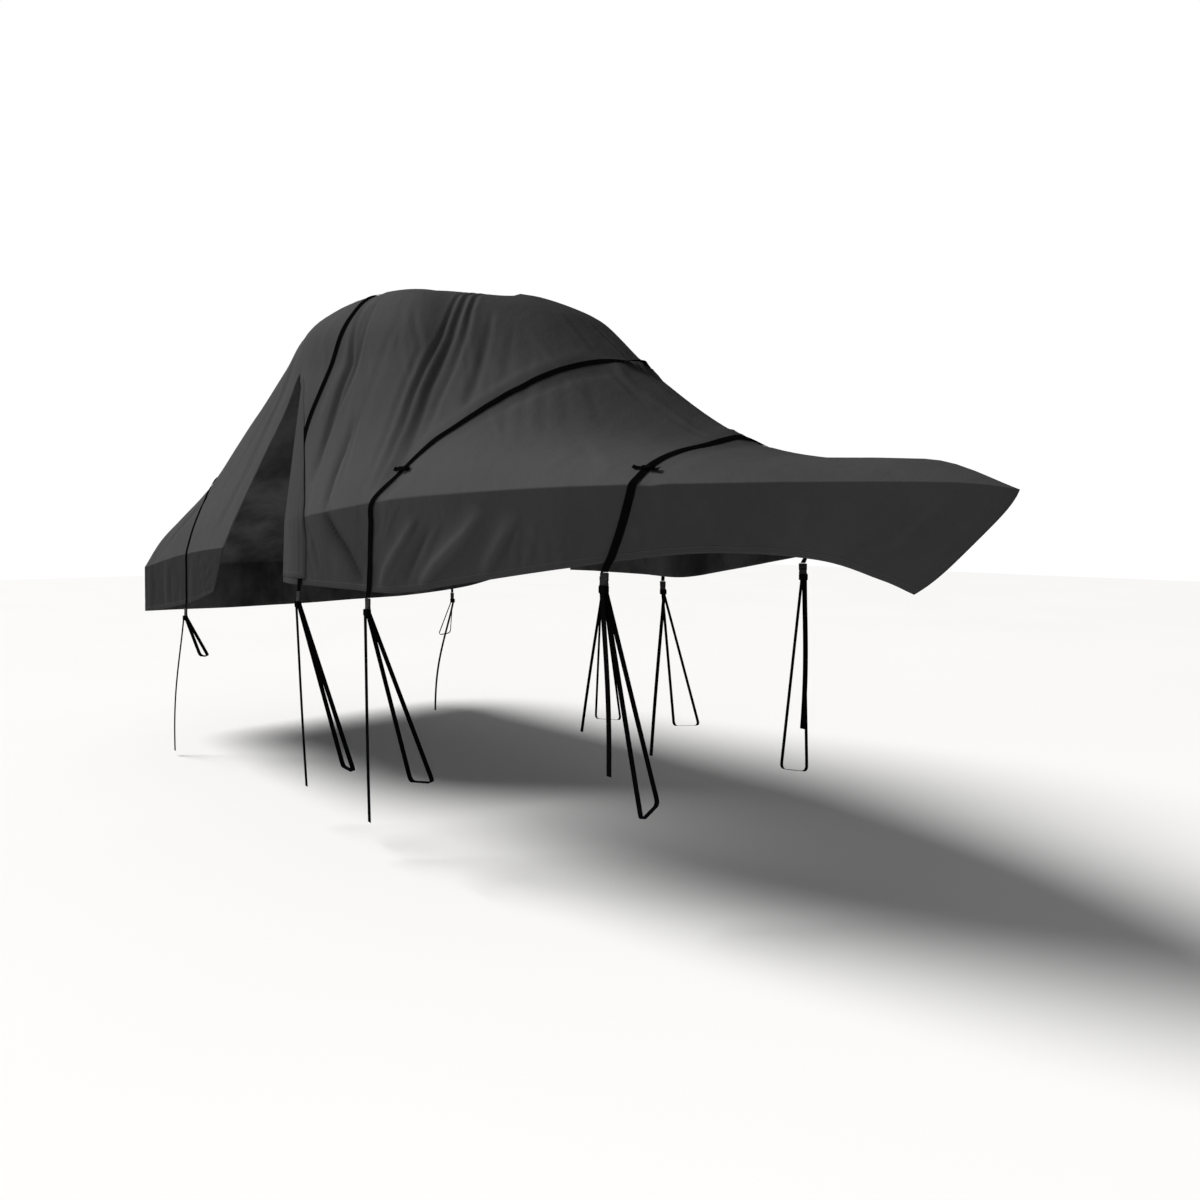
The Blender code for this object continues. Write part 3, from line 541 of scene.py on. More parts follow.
def webbing_material(colour):
    """Woven webbing: ribs across it, a chevron down the middle and a plain edge at each side."""
    graph = Graph("Webbing", 0.7, 0.0)
    _, v = graph.uv()
    edge = graph.attribute("across")
    ribs = ((v + abs(edge) * 0.5) * (math.tau / RIB_PITCH)).sine()
    cords = (edge * (math.tau / CORD_PITCH)).sine()
    selvedge = abs(edge).ramp(0.0098, 0.0108)
    worn = graph.noise(22.0, 3.0, 0.6)
    fuzz = graph.noise(420.0, 2.0, 0.6)
    body = graph.mix(worn, scaled(colour, 0.7), scaled(colour, 2.1))
    body = graph.mix(ribs.ramp(-1.0, 1.0, 0.35, 0.0), body, scaled(colour, 0.4))
    body = graph.mix(fuzz.ramp(0.6, 0.75) * 0.25, body, scaled(colour, 4.0))
    rough = 0.62 + worn * 0.22 + selvedge * 0.05
    height = (ribs * 0.6 + cords * 0.4) * (1 - selvedge * 0.6)
    normal = graph.bump(height * 0.00035, 0.9)
    return graph.finish(Base_Color=body, Roughness=rough, Normal=normal)


def moulded_material(colour):
    """Moulded nylon: fine grain, a little wear on the raised edges."""
    graph = Graph("Buckle plastic", 0.42, 0.14)
    grain = graph.noise(900.0, 2.0, 0.6)
    handled = graph.noise(60.0, 3.0, 0.6)
    wear = (graph.attribute("raised") * handled.ramp(0.35, 0.7)).clamped()
    body = graph.mix(handled, scaled(colour, 0.8), scaled(colour, 1.3))
    body = graph.mix(wear * 0.5, body, scaled(colour, 3.2))
    rough = 0.36 + handled * 0.16 + wear * 0.15
    normal = graph.bump(grain * 0.00008, 0.8)
    return graph.finish(Base_Color=body, Roughness=rough, Normal=normal)


def floor_material():
    """Plain pale studio floor with a barely uneven tone."""
    graph = Graph("Studio floor", 0.9)
    soft = graph.noise(0.35, 2.0, 0.5)
    body = graph.mix(soft, (0.90, 0.90, 0.90), (0.93, 0.93, 0.93))
    return graph.finish(Base_Color=body, Roughness=0.88 + soft * 0.04)


# -------- surfaces


def placed(points):
    """From the tables' axes to the part's: the origin is the mount under the top."""
    return np.asarray(points, float) - (MOUNT_X, 0.0, TOP_Z - CLOTH)


def unit(vectors):
    return vectors / np.maximum(np.linalg.norm(vectors, axis=-1, keepdims=True), 1e-9)


def between(values, start, end):
    """0 at start, 1 at end, straight between and level beyond."""
    return np.clip((values - start) / (end - start), 0, 1)


def eased(t):
    """Smooth from 0 to 1: 3 t squared less 2 t cubed."""
    return t * t * (3 - 2 * t)


def metres(points, axis):
    """Metres along a grid's rows or columns, from the first point of each."""
    first = np.take(points, [0], axis=axis)
    return np.linalg.norm(np.diff(points, axis=axis, prepend=first), axis=-1).cumsum(axis=axis)


def through(stops, values, at):
    """Smooth curve through values at the stops, as a cubic Hermite with Catmull-Rom tangents."""
    stops = np.asarray(stops, float)
    values = np.asarray(values, float)
    slopes = np.gradient(values, stops, axis=0)
    index = np.clip(np.searchsorted(stops, at, side="right") - 1, 0, len(stops) - 2)
    span = stops[index + 1] - stops[index]
    t = (at - stops[index]) / span
    shape = t.shape + (1,) * (values.ndim - 1)
    t, span = t.reshape(shape), span.reshape(shape)
    start, end = values[index], values[index + 1]
    return (
        (2 * t**3 - 3 * t**2 + 1) * start
        + (t**3 - 2 * t**2 + t) * span * slopes[index]
        + (3 * t**2 - 2 * t**3) * end
        + (t**3 - t**2) * span * slopes[index + 1]
    )


def cloth_surface(gores, at, levels):
    """Points of the cloth at each level (rows) and gore (columns), y taken positive.

    Below level 1 a straight line from hem to sheer; from 1 to 2 the chord from sheer to rim plus
    the gore's stand-off at right angles to it; from 2 to 3 the crown's rise to the ridge.
    """
    stops = np.arange(len(gores))
    sheer, hem, rim, stands = (through(stops, part, at) for part in zip(*gores))
    stands = np.pad(stands, ((0, 0), (1, 1)))
    chord = rim - sheer
    run = np.hypot(chord[:, 0], chord[:, 1])
    length = np.hypot(run, chord[:, 2])
    away = np.empty_like(chord)
    away[:, :2] = -chord[:, :2] / run[:, None] * (chord[:, 2] / length)[:, None]
    away[:, 2] = run / length
    roof = [sheer + chord * stop + away * stands[:, [i]] for i, stop in enumerate(ROOF_STOPS)]
    share = between(rim[:, 0], RIM_AFT_X, RIM_FORE_X)
    ridge = RIDGE_AFT + (RIDGE_FORE - RIDGE_AFT) * share[:, None]
    for stop, *rises in list(zip(CROWN_STOPS, *CROWN_RISE))[1:]:
        point = rim + (ridge - rim) * stop
        rise = through(CROWN_SHARES, rises, share)
        point[:, 2] = rim[:, 2] + (ridge[:, 2] - rim[:, 2]) * rise
        roof.append(point)
    knots = 1 + np.concatenate([ROOF_STOPS, 1 + np.asarray(CROWN_STOPS[1:])])
    upper = through(knots, np.stack(roof), levels[levels >= 1])
    up = levels[levels < 1][:, None, None]
    lower = hem + (roof[0] - hem) * up
    if gores is FORE_GORES:
        near_stem = between(at, STEM_GORES, 0)
        lower[..., 0] += STEM_BULGE * near_stem * (1 - (2 * up[..., 0] - 1) ** 4)
    return np.concatenate([lower, upper])


def grid_normals(points):
    """Unit normals of a grid, outward where y is taken positive."""
    return unit(np.cross(np.gradient(points, axis=1), np.gradient(points, axis=0)))


def line_reach(points, normals, line):
    """How far each point is from a line over the cloth, on which side, and how far along it.

    The part of the distance that stands off the cloth is left out, and where that part is large
    the point is out of reach.
    """
    near = np.full(points.shape[:2], np.inf)
    side, along = np.zeros(near.shape), np.zeros(near.shape)
    for index, (start, end) in enumerate(zip(line, line[1:])):
        edge = end - start
        t = np.clip((points - start) @ edge / (edge @ edge), 0, 1)
        gap = points - start - t[..., None] * edge
        off = np.einsum("ijk,ijk->ij", gap, normals)
        gap = gap - off[..., None] * normals
        apart = np.where(np.abs(off) < LINE_REACH, np.linalg.norm(gap, axis=2), np.inf)
        nearer = apart < near
        turn = np.sign(np.einsum("ijk,ijk->ij", np.cross(edge, normals), gap))
        near = np.where(nearer, apart, near)
        side = np.where(nearer, turn, side)
        along = np.where(nearer, (index + t) / (len(line) - 1), along)
    return near, side, along


def fold_depth(points, normals, line, fold):
    """A solid's fold: a bell across its line, faded in and out along it."""
    near, _, along = line_reach(points, normals, line)
    return fold.depth * np.exp(-((near / fold.width) ** 2)) * np.sqrt(4 * along * (1 - along))


def crease_depth(points, normals, line, crease):
    """A finer crease: a narrow bell across its line with a low swell on each side of it.

    The swell is higher on one side than on the other, the bell is widest at the line's far end,
    and both fade to nothing at the line's ends.
    """
    near, side, along = line_reach(points, normals, line)
    x = near / (crease.width * (CREASE_SPREAD[0] + CREASE_SPREAD[1] * along))
    swell = np.exp(-((x - SWELL_AT) ** 2) * SWELL_TIGHT) * np.where(side > 0, *SWELL_HEIGHTS)
    fade = np.clip(4 * along * (1 - along), 0, 1) ** CREASE_FADE
    return crease.depth * fade * (np.exp(-(x**2)) - swell)


def surface_at(gores, pairs):
    """Points of the cloth at (gore, level) pairs, each gore column sampled at its own level."""
    order = np.argsort(pairs[:, 1])
    grid = cloth_surface(gores, pairs[order, 0], pairs[order, 1])
    points = np.empty((len(pairs), 3))
    points[order] = grid[np.arange(len(pairs)), np.arange(len(pairs))]
    return points


def listed_folds(rows):
    """Folds from a table's rows."""
    return [
        Fold(np.reshape(line, (-1, 2)), width / 1000, depth / 1000) for width, depth, *line in rows
    ]


def faint_creases(rng, gores, offset):
    """Random small creases that run down from the rim or up from the hem, leaning a little."""
    made = []
    last = len(gores) - 1
    for _ in range(FAINT[offset > 0]):
        gore = rng.uniform(0.4, last - 0.2)
        low = rng.choice(FAINT_STARTS)
        reach = rng.uniform(*FAINT_REACH)
        end = min(max(gore + rng.uniform(*FAINT_LEAN), 0.1), last - 0.05)
        width = rng.uniform(*FAINT_WIDTH)
        depth = rng.uniform(*FAINT_DEPTH) * rng.choice(FAINT_SIGNS)
        high = min(low + reach, FAINT_TOPS[int(low > 1)])
        line = np.array([(gore, low), ((gore + end) / 2, (low + high) / 2), (end, high)])
        made.append(Fold(line + (offset, 0), width, depth))
    return made


def cloth_half(gores, at, offset, side, rng):
    """One grid of the cloth with its folds, its UV metres and its marks for the material."""
    base = cloth_surface(gores, at, LEVELS)
    normals = grid_normals(base)
    depth = np.zeros(base.shape[:2])
    folds, creases = (listed_folds(rows) for rows in FOLD_TABLES[side])
    faint = faint_creases(rng, gores, offset)
    for shape, lines in ((fold_depth, folds), (crease_depth, creases), (crease_depth, faint)):
        for fold in lines:
            pairs = fold.line - (offset, 0)
            if pairs[:, 0].min() >= 0 and pairs[:, 0].max() <= len(gores) - 1:
                depth += shape(base, normals, surface_at(gores, pairs), fold)
    up, across = metres(base, 0), metres(base, 1)
    edge = across if offset else across[:, [-1]] - across
    open_rows = (LEVELS < 1 + APEX)[:, None]
    sheer_row = int(np.argmin(np.abs(LEVELS - 1)))
    uv = np.stack([across[[sheer_row]] + 0 * across, up], axis=2)
    return base + normals * depth[..., None], uv, {
        "from_hem": np.where(open_rows, np.minimum(up, edge), up),
        "from_seam": np.abs(up[-1] - up),
        # The mark holds painted shade: the folds' troughs darker and their ridges lighter, plus the
        # painted shade of each place.
        "tone": depth * FOLD_PAINTED_SHADE + painted_shade(at, offset),
    }


def painted_shade(at, offset):
    """Painted shade: how much lighter the cloth is painted than its own colour, at each grid point,
    standing in for light and shade by place.
    """
    level = LEVELS[:, None]
    skirt = level < SKIRT_TOP
    if offset:
        return np.where(skirt, SKIRT_PAINTED_SHADES[1], AFT_PAINTED_SHADE) + 0 * at
    high = HIGH_PAINTED_SHADE * between(level, *HIGH_LEVELS)
    deck = DECK_PAINTED_SHADE * between(at, *DECK_GORES)
    front = FRONT_PAINTED_SHADE * between(level, *FRONT_LEVELS) * between(at, *FRONT_GORES)
    return np.where(skirt, SKIRT_PAINTED_SHADES[0], high + deck + front)


def drawn_together(fore, aft):
    """Moves the wedge's edges: they meet above the apex and run straight to it from below.

    The move fades out over the columns beside each edge.
    """
    meeting = (fore[:, -1] + aft[:, 0]) / 2
    start = int(np.argmin(np.abs(LEVELS - WEDGE_STEP)))
    end = int(np.argmin(np.abs(LEVELS - 1 - APEX)))
    t = between(LEVELS, WEDGE_STEP, 1 + APEX)[:, None]
    for grid, at, column, reach in (
        (fore, FORE_COLUMNS[-1] - FORE_COLUMNS, -1, WEDGE_REACH[0]),
        (aft, AFT_COLUMNS, 0, WEDGE_REACH[1]),
    ):
        edge = grid[:, column].copy()
        target = np.where(t < 1, edge[start] * (1 - t) + meeting[end] * t, meeting)
        target[:start] = edge[:start]
        grid += (target - edge)[:, None] * eased(between(at, reach, 0))[:, None]
        grid[end:, column] = meeting[end:]


def cloth_grids():
    """The four grids of the cloth, in the part's axes, with the wedge open below its apex."""
    rng = np.random.default_rng(FAINT_SEED)
    panels = []
    for side in SIDES:
        fore = cloth_half(FORE_GORES, FORE_COLUMNS, 0, side, rng)
        aft = cloth_half(AFT_GORES, AFT_COLUMNS, len(FORE_GORES), side, rng)
        drawn_together(fore[0], aft[0])
        fore[0][:, 0, 1] = 0.0
        aft[0][:, -1, 1] = 0.0
        for grid, uv, marks in (fore, aft):
            grid[-1, :, 1] = 0.0
            grid[:, :, 1] *= side
            panels.append((side, placed(grid), uv, marks))
    return panels


def core_of(strap):
    return strap.core_z - TOP_Z + CLOTH


def polar(strap, points):
    """Angle, from 0 to starboard to half a turn to port, and distance about a strap's core line."""
    rise = points[..., 2] - core_of(strap)
    angle = np.arctan2(rise, -points[..., 1])
    return np.where(angle < -math.pi / 2, angle + math.tau, angle), np.hypot(points[..., 1], rise)


def radial(angle):
    """Unit vectors away from a strap's core line at each angle."""
    return np.stack([0 * angle, -np.cos(angle), np.sin(angle)], axis=-1)


def spread(strap, points, factor):
    """Points moved away from a strap's core line, to their distance times factor."""
    core = core_of(strap)
    moved = points.copy()
    moved[..., 1] *= factor
    moved[..., 2] = core + (points[..., 2] - core) * factor
    return moved


def strap_over(strap, gauge, points, edge):
    """How a strap passes over points, by each point's angle about the strap's core line.

    Gives the point's distance from that line, the strap's distance there with its slope followed
    up to edge from its middle, how far the point is outside the strap's edge, and whether the
    angle is one that the strap reaches.
    """
    angle, radius = polar(strap, points)
    order, middle_x, inner, slope, half = gauge
    off = points[..., 0] - np.interp(angle, order, middle_x)
    tilted = np.interp(angle, order, slope) * np.clip(off, -edge, edge)
    inside = (angle > order[0]) & (angle < order[-1])
    return radius, np.interp(angle, order, inner) + tilted, np.abs(off) - half, inside


def flap_grid(side, points, gauge):
    """The flap beside the wedge: the fore cloth's own surface, a little proud of it.

    Each row is cut from the cloth between the flap's front edge and the wedge, then lifted over
    the strap that runs under it.
    """
    rows = (LEVELS >= FLAP_LEVELS[0]) & (LEVELS <= FLAP_LEVELS[1])
    levels = LEVELS[rows]
    front = np.interp(levels, *zip(*FLAP_EDGE))
    share = np.linspace(0, 1, FLAP_COLUMNS + 1)
    gore = front[:, None] + (FORE_COLUMNS[-1] - front)[:, None] * share
    index = np.clip(np.searchsorted(FORE_COLUMNS, gore) - 1, 0, len(FORE_COLUMNS) - 2)
    t = (gore - FORE_COLUMNS[index]) / (FORE_COLUMNS[index + 1] - FORE_COLUMNS[index])
    row = np.arange(rows.sum())[:, None]
    cloth = points[rows]
    grid = cloth[row, index] * (1 - t[..., None]) + cloth[row, index + 1] * t[..., None]
    grid = grid + grid_normals(grid) * side * FLAP_GAP
    radius, height, beside, _ = strap_over(FLAP_STRAP, gauge, grid, gauge[-1])
    hold = eased(between(beside, FLAP_REACH, 0))
    lift = np.clip(height + FLAP_OVER - radius, 0, FLAP_LIFT) * hold
    grid = spread(FLAP_STRAP, grid, 1 + lift / radius)
    up, across = metres(grid, 0), metres(grid, 1)
    far = np.ones(up.shape)
    return side, grid, np.stack([across, up], axis=2), {
        # The flap's mark: painted shade all over it.
        "from_hem": np.minimum(up, across), "from_seam": far, "tone": FLAP_PAINTED_SHADE * far,
    }


def press_under(points, strap, gauge):
    """Flattens the cloth under a strap.

    A point's angle about the strap's core line gives the strap's own radius and slope there;
    under the strap the cloth keeps PRESS_GAP below it, and the hold fades out beside it.
    Above its guides, troughs shallower than PRESS_LIFT are drawn up to the strap as well.
    """
    radius, height, beside, inside = strap_over(strap, gauge, points, PRESS_EDGE)
    hold = np.where(inside, eased(1 - between(beside, *PRESS_BESIDE)), 0.0)
    over = radius - height + PRESS_GAP
    drop = np.clip(over, 0, PRESS_DROP) * hold
    if strap.name in GUIDED:
        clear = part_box(f"guide_{strap.name}_starboard")[1].z + GUIDE_CLEAR
        trough = np.clip(-over, 0, None)
        lift = trough * (1 - between(trough, PRESS_LIFT, 2 * PRESS_LIFT)) * hold
        drop -= lift * between(points[..., 2], clear, clear + GUIDE_FADE)
    return spread(strap, points, 1 - drop / np.maximum(radius, 1e-6))


# The order of a quad's corners by side. Side 0 is for closed bodies.
WINDING = {-1: (3, 2, 1, 0), 1: (0, 1, 2, 3), 0: (0, 3, 2, 1)}


def new_mesh(name, verts, faces, marks, uv=None):
    """A mesh with FLOAT marks on its points and, where uv is given, a UV map named Surface."""
    mesh = bpy.data.meshes.new(name)
    mesh.from_pydata(verts, [], faces)
    if uv is not None:
        layer = mesh.uv_layers.new(name="Surface")
        layer.data.foreach_set("uv", uv.reshape(-1).astype(np.float32))
    for key, values in marks.items():
        attribute = mesh.attributes.new(key, "FLOAT", "POINT")
        attribute.data.foreach_set("value", values.astype(np.float32))
    return mesh


def grids_to_mesh(name, grids):
    """Quads of (side, points, uv, marks) grids, wound outwards on both sides. uv may be None."""
    faces = []
    start = 0
    for side, points, *_ in grids:
        rows, columns = points.shape[:2]
        index = start + np.arange(rows * columns).reshape(rows, columns)
        corners = (index[:-1, :-1], index[:-1, 1:], index[1:, 1:], index[1:, :-1])
        faces.append(np.stack([corners[i] for i in WINDING[side]], axis=2).reshape(-1, 4))
        start += rows * columns
    faces = np.concatenate(faces)
    verts = np.concatenate([grid[1].reshape(-1, 3) for grid in grids])
    uv = None
    if grids[0][2] is not None:
        uv = np.concatenate([grid[2].reshape(-1, 2) for grid in grids])[faces.reshape(-1)]
    marks = {
        key: np.concatenate([grid[3][key].reshape(-1) for grid in grids]) for key in grids[0][3]
    }
    return new_mesh(name, verts, faces, marks, uv)


def cleaned(mesh, distance=0.0, outwards=True):
    """Merges points closer than distance, turns faces outwards where asked, shades smooth."""
    shape = bmesh.new()
    shape.from_mesh(mesh)
    if distance:
        bmesh.ops.remove_doubles(shape, verts=shape.verts, dist=distance)
        bmesh.ops.dissolve_degenerate(shape, edges=shape.edges, dist=distance)
    if outwards:
        bmesh.ops.recalc_face_normals(shape, faces=shape.faces)
    shape.to_mesh(mesh)
    shape.free()
    mesh.shade_smooth()
    return mesh


def node_rings(node, key):
    """Corners of a band's solid in rings of four, ordered by key along the band, and each key."""
    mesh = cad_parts[node].data
    points = np.empty(len(mesh.vertices) * 3)
    mesh.vertices.foreach_get("co", points)
    points = np.unique(points.reshape(-1, 3).round(6), axis=0)
    order = np.argsort(key(points), kind="stable")
    return key(points)[order].reshape(-1, 4).mean(axis=1), points[order].reshape(-1, 4, 3)


def strap_rings(strap):
    """Middle line, width way and outward way of a strap, finer than its solid's rings."""

    def turned(points):
        return polar(strap, points)[0]

    stops, rings = node_rings(f"strap_{strap.name}", turned)
    order = np.argsort(rings[:, :, 0], axis=1, kind="stable")
    rings = np.take_along_axis(rings, order[:, :, None], axis=1).reshape(-1, 2, 2, 3)
    inner = np.argmin(polar(strap, rings)[1], axis=2)[..., None, None]
    edges = np.take_along_axis(rings, inner, axis=2)[:, :, 0]
    edges = through(stops, edges, np.linspace(stops[0], stops[-1], STRAP_STEPS + 1))
    middle = (edges[:, 0] + edges[:, 1]) / 2
    return middle, edges[:, 1] - edges[:, 0], unit((middle - [0, 0, core_of(strap)]) * [0, 1, 1])


def cloth_radii(strap, panels, angles, xs):
    """Distance of the cloth from a strap's core line, on three lines along the strap.

    Where a row of the cloth's grid crosses one of the lines, the crossing gives an angle and a
    distance; the distances between crossings are read off a straight line.
    """
    found = []
    for shift in (-LAID_SIDE, 0.0, LAID_SIDE):
        crossings = []
        for _, points, *_ in panels:
            polars = np.stack(polar(strap, points))
            off = points[..., 0] - np.interp(polars[0], angles, xs) - shift
            rows, columns = np.nonzero(off[:, :-1] * off[:, 1:] < 0)
            t = off[rows, columns] / (off[rows, columns] - off[rows, columns + 1])
            crossings.append(polars[:, rows, columns] * (1 - t) + polars[:, rows, columns + 1] * t)
        turns, radii = np.concatenate(crossings, axis=1)
        order = np.argsort(turns)
        found.append(np.interp(angles, turns[order], radii[order], left=0.0, right=0.0))
    return found


def laid_strap(strap, panels):
    """A strap laid flat on the cloth wherever its solid passes close over it.

    The middle of its width is drawn down to the cloth and the width is tilted to the cloth's own
    slope. Both are smoothed along the strap, so it bridges what is narrower than the window.
    """
    middle, way, outward = strap_rings(strap)
    angles, taut = polar(strap, middle)
    low, mid, high = cloth_radii(strap, panels, angles, middle[:, 0])
    gap = taut - np.maximum(mid, (low + high) / 2) - LAID_GAP
    close = 1 - between(gap, *LAID_SPAN)
    kernel = np.hanning(LAID_WINDOW + 2)[1:-1]

    def smooth(values):
        padded = np.pad(values, LAID_WINDOW // 2, mode="edge")
        return np.convolve(padded, kernel / kernel.sum(), mode="valid")

    drop = smooth(np.clip(gap, -LAID_RISE, None) * close)
    tilt = smooth(np.clip((high - low) / (2 * LAID_SIDE), -LAID_SLOPE, LAID_SLOPE) * close)
    away = radial(angles)
    laid = middle - away * drop[:, None]
    return laid, way + away * (tilt * way[:, 0])[:, None], outward


def strap_gauge(strap, middle, way):
    """Angle, x, inner radius, its slope across and half width along a strap."""
    angle, inner = polar(strap, middle)
    slope = np.einsum("ij,ij->i", way, radial(angle)) / way[:, 0]
    return angle, middle[:, 0], inner, slope, float(np.abs(way[:, 0]).mean() / 2)


# A flat band's section: across in half widths, outward in thicknesses, edges a little fuller.
BAND_SECTION = np.array(
    [
        (-0.96, 0.00), (-0.62, 0.06), (0.0, 0.06), (0.62, 0.06), (0.96, 0.00), (1.00, 0.35),
        (1.00, 0.70), (0.94, 1.00), (0.62, 0.92), (0.0, 0.90), (-0.62, 0.92), (-0.94, 1.00),
        (-1.00, 0.70), (-1.00, 0.35),
    ]
)


def band_mesh(name, middle, way, outward, width):
    """A flat band: BAND_SECTION carried along middle, across way and standing on outward."""
    way = unit(way)
    outward = unit(outward - way * np.einsum("ij,ij->i", outward, way)[:, None])
    across = BAND_SECTION[:, 0] * width / 2
    points = (
        middle[:, None]
        + way[:, None] * across[:, None]
        + outward[:, None] * (BAND_SECTION[:, 1] * STRAP_THICK)[:, None]
    )
    rows, columns = points.shape[:2]
    index = np.arange(rows * columns).reshape(rows, columns)
    near, far = index[:-1], index[1:]
    quads = np.stack([near, np.roll(near, -1, 1), np.roll(far, -1, 1), far], axis=2)
    faces = [*quads.reshape(-1, 4).tolist(), index[0][::-1].tolist(), index[-1].tolist()]
    corner = np.concatenate(faces)
    uv = np.stack([across[corner % columns], metres(middle, 0)[corner // columns]], axis=1)
    marks = {"across": np.tile(across, rows)}
    mesh = cleaned(new_mesh(name, points.reshape(-1, 3), faces, marks, uv))
    mesh.set_sharp_from_angle(angle=SHARP_ANGLE)
    return mesh


def linked(name, data):
    item = bpy.data.objects.new(name, data)
    bpy.context.scene.collection.objects.link(item)
    return item


def new_piece(name, mesh, *materials):
    for finish in materials:
        mesh.materials.append(finish)
    piece = linked(name, mesh)
    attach(piece, "root")
    return piece


# -------- ties, tails, guides, buckles


def buckle_foot(end):
    """Middle of the lower face of a strap end's buckle, less the gap to what hangs below it."""
    low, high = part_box(f"buckle_{end}")
    middle = (low + high) / 2
    return np.array([middle.x, middle.y, low.z - FOOT_GAP])


def rounded_path(corners):
    """Straight runs between corners that are rounded with quadratic arcs."""
    pieces = []
    last = corners[0]
    for before, corner, after in zip(corners, corners[1:], corners[2:]):
        start = corner + unit(before - corner) * CORNER_RADIUS
        end = corner + unit(after - corner) * CORNER_RADIUS
        pieces.append(np.linspace(last, start, LEG_STEPS)[:-1])
        t = np.linspace(0, 1, CORNER_STEPS)[:-1, None]
        pieces.append(start * (1 - t) ** 2 + corner * 2 * t * (1 - t) + end * t**2)
        last = end
    pieces.append(np.linspace(last, corners[-1], LEG_STEPS))
    return np.concatenate(pieces)


def tie_route(tie, side, start):
    """Down the outer leg, across below what it holds, and up the inner leg."""
    outer, inner = (placed((x, y * side, z)) for x, y, z in (tie.outer, tie.inner))
    apart = unit(outer - inner) * LEG_GAP
    drop = np.array([0, 0, -LEG_DROP])
    route = rounded_path([start + apart + drop, outer, inner, start - apart + drop])
    way = np.tile(unit(np.cross(outer - start, inner - start)), (len(route), 1))
    return route, way, np.cross(np.gradient(route, axis=0), way)


def tail_route(tie, side, start):
    """The spare end: straight down to its end with a sway that is a sine times a root."""
    end = placed((tie.tail[0], tie.tail[1] * side, tie.tail[2]))
    top = start + [0, side * TAIL_OUT, -LEG_DROP]
    t = np.linspace(0, 1, TAIL_STEPS + 1)[:, None]
    sway = np.sin(t * math.pi) * tie.tail_sway * np.sqrt(t)
    route = top + (end - top) * t - sway * [1, 0, 0]
    return route, *(np.tile(way, (len(route), 1)) for way in ([1.0, 0.0, 0.0], [0.0, side, 0.0]))


def hang_cord(name, node, shape, width, finish):
    """A flat cord from its route, in place of the node it stands for, whose solid it hides."""
    route, _, outward = shape
    cord = new_piece(name, band_mesh(name, *shape, width), finish)
    centre = route + unit(outward) * STRAP_THICK / 2
    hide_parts(node)
    float(metres(centre, 0)[-1])


def guide_mesh(name, node):
    """The sewn guide, finer than its solid: its rings are read back and curved through."""

    def along(points):
        flat = points[:, :2] - points[:, :2].mean(axis=0)
        axis = np.linalg.svd(flat, full_matrices=False)[2][0]
        return flat @ axis

    stops, rings = node_rings(node, along)
    centre = rings.mean(axis=1)
    order = np.argsort(rings[:, :, 2], axis=1)
    rings = np.take_along_axis(rings, order[:, :, None], axis=1)
    way = rings[:, 2:].mean(axis=1) - rings[:, :2].mean(axis=1)
    outward = np.cross(np.gradient(centre, axis=0), way)
    outward = unit(outward * np.sign(outward[:, [1]] * centre[:, [1]]))
    at = np.linspace(stops[0], stops[-1], GUIDE_STEPS + 1)
    lines = (centre - outward * STRAP_THICK / 2, way, outward)
    return band_mesh(name, *(through(stops, line, at) for line in lines), GUIDE_WIDTH)


def block(centre, size, power=0.35, shape=None):
    """Closed rounded block: a superellipsoid, whose cosines and sines are raised to a power.

    shape, where given, moves its points by a function of their unit coordinates.
    """
    theta = np.linspace(0, math.tau, BLOCK_COLUMNS, endpoint=False)[None, :]
    phi = np.linspace(-math.pi / 2, math.pi / 2, BLOCK_ROWS + 1)[:, None]

    def rounded(value):
        return np.sign(value) * np.abs(value) ** power

    ring = rounded(np.cos(phi))
    points = np.stack(
        [
            ring * rounded(np.cos(theta)),
            rounded(np.sin(phi)) * np.ones_like(theta),
            ring * rounded(np.sin(theta)),
        ],
        axis=2,
    )
    if shape is not None:
        points = shape(points)
    points = points * size / 2 + centre
    return np.concatenate([points, points[:, :1]], axis=1)


def buckle_grids(middle):
    """Side-release buckle inside its solid's block, from BUCKLE_BLOCKS."""
    size = np.array(BUCKLE_SIZE)

    def waisted(points):
        """Narrower by a bell over the height."""
        depth, height, span = WAIST
        points[..., 0] *= 1 - depth * np.exp(-(((points[..., 2] - height) / span) ** 2))
        return points

    return [
        block(middle + size * (x, 0, z) / 2, size * shares, shape=None if index else waisted)
        for index, (x, z, *shares) in enumerate(BUCKLE_BLOCKS)
    ]


def closed_mesh(name, grids):
    """Closed bodies from grids whose first and last columns and end rows meet.

    The mark raised is 0 in the middle of a body's faces and 1 at its edges and corners.
    """
    made = []
    for points in grids:
        away = np.abs(points - points.reshape(-1, 3).mean(axis=0))
        edge = np.sort(away / np.maximum(away.max(axis=(0, 1)), 1e-6), axis=2)[..., 1]
        made.append((0, points, None, {"raised": between(edge, RAISED_FROM, 1)}))
    return cleaned(grids_to_mesh(name, made), BLOCK_MERGE)


# -------- settings and operators


def number_setting(name, description, default, low, high, **others):
    return FloatProperty(
        name=name, description=description, default=default, min=low, max=high, **others
    )


def colour_setting(name, description, default):
    return FloatVectorProperty(
        name=name, description=description, default=default, min=0.0, max=1.0, size=3,
        subtype="COLOR",
    )


class CoverLook(bpy.types.PropertyGroup):
    """Sizes and colours of the cloth."""

    colour: colour_setting("Cloth colour", "Base colour of the woven cloth", CLOTH_GREY)
    thickness: number_setting(
        "Cloth thickness", "Wall of the cloth where it shows at the hem", 0.0016, 0.0004, 0.003,
        unit="LENGTH", precision=4,
    )


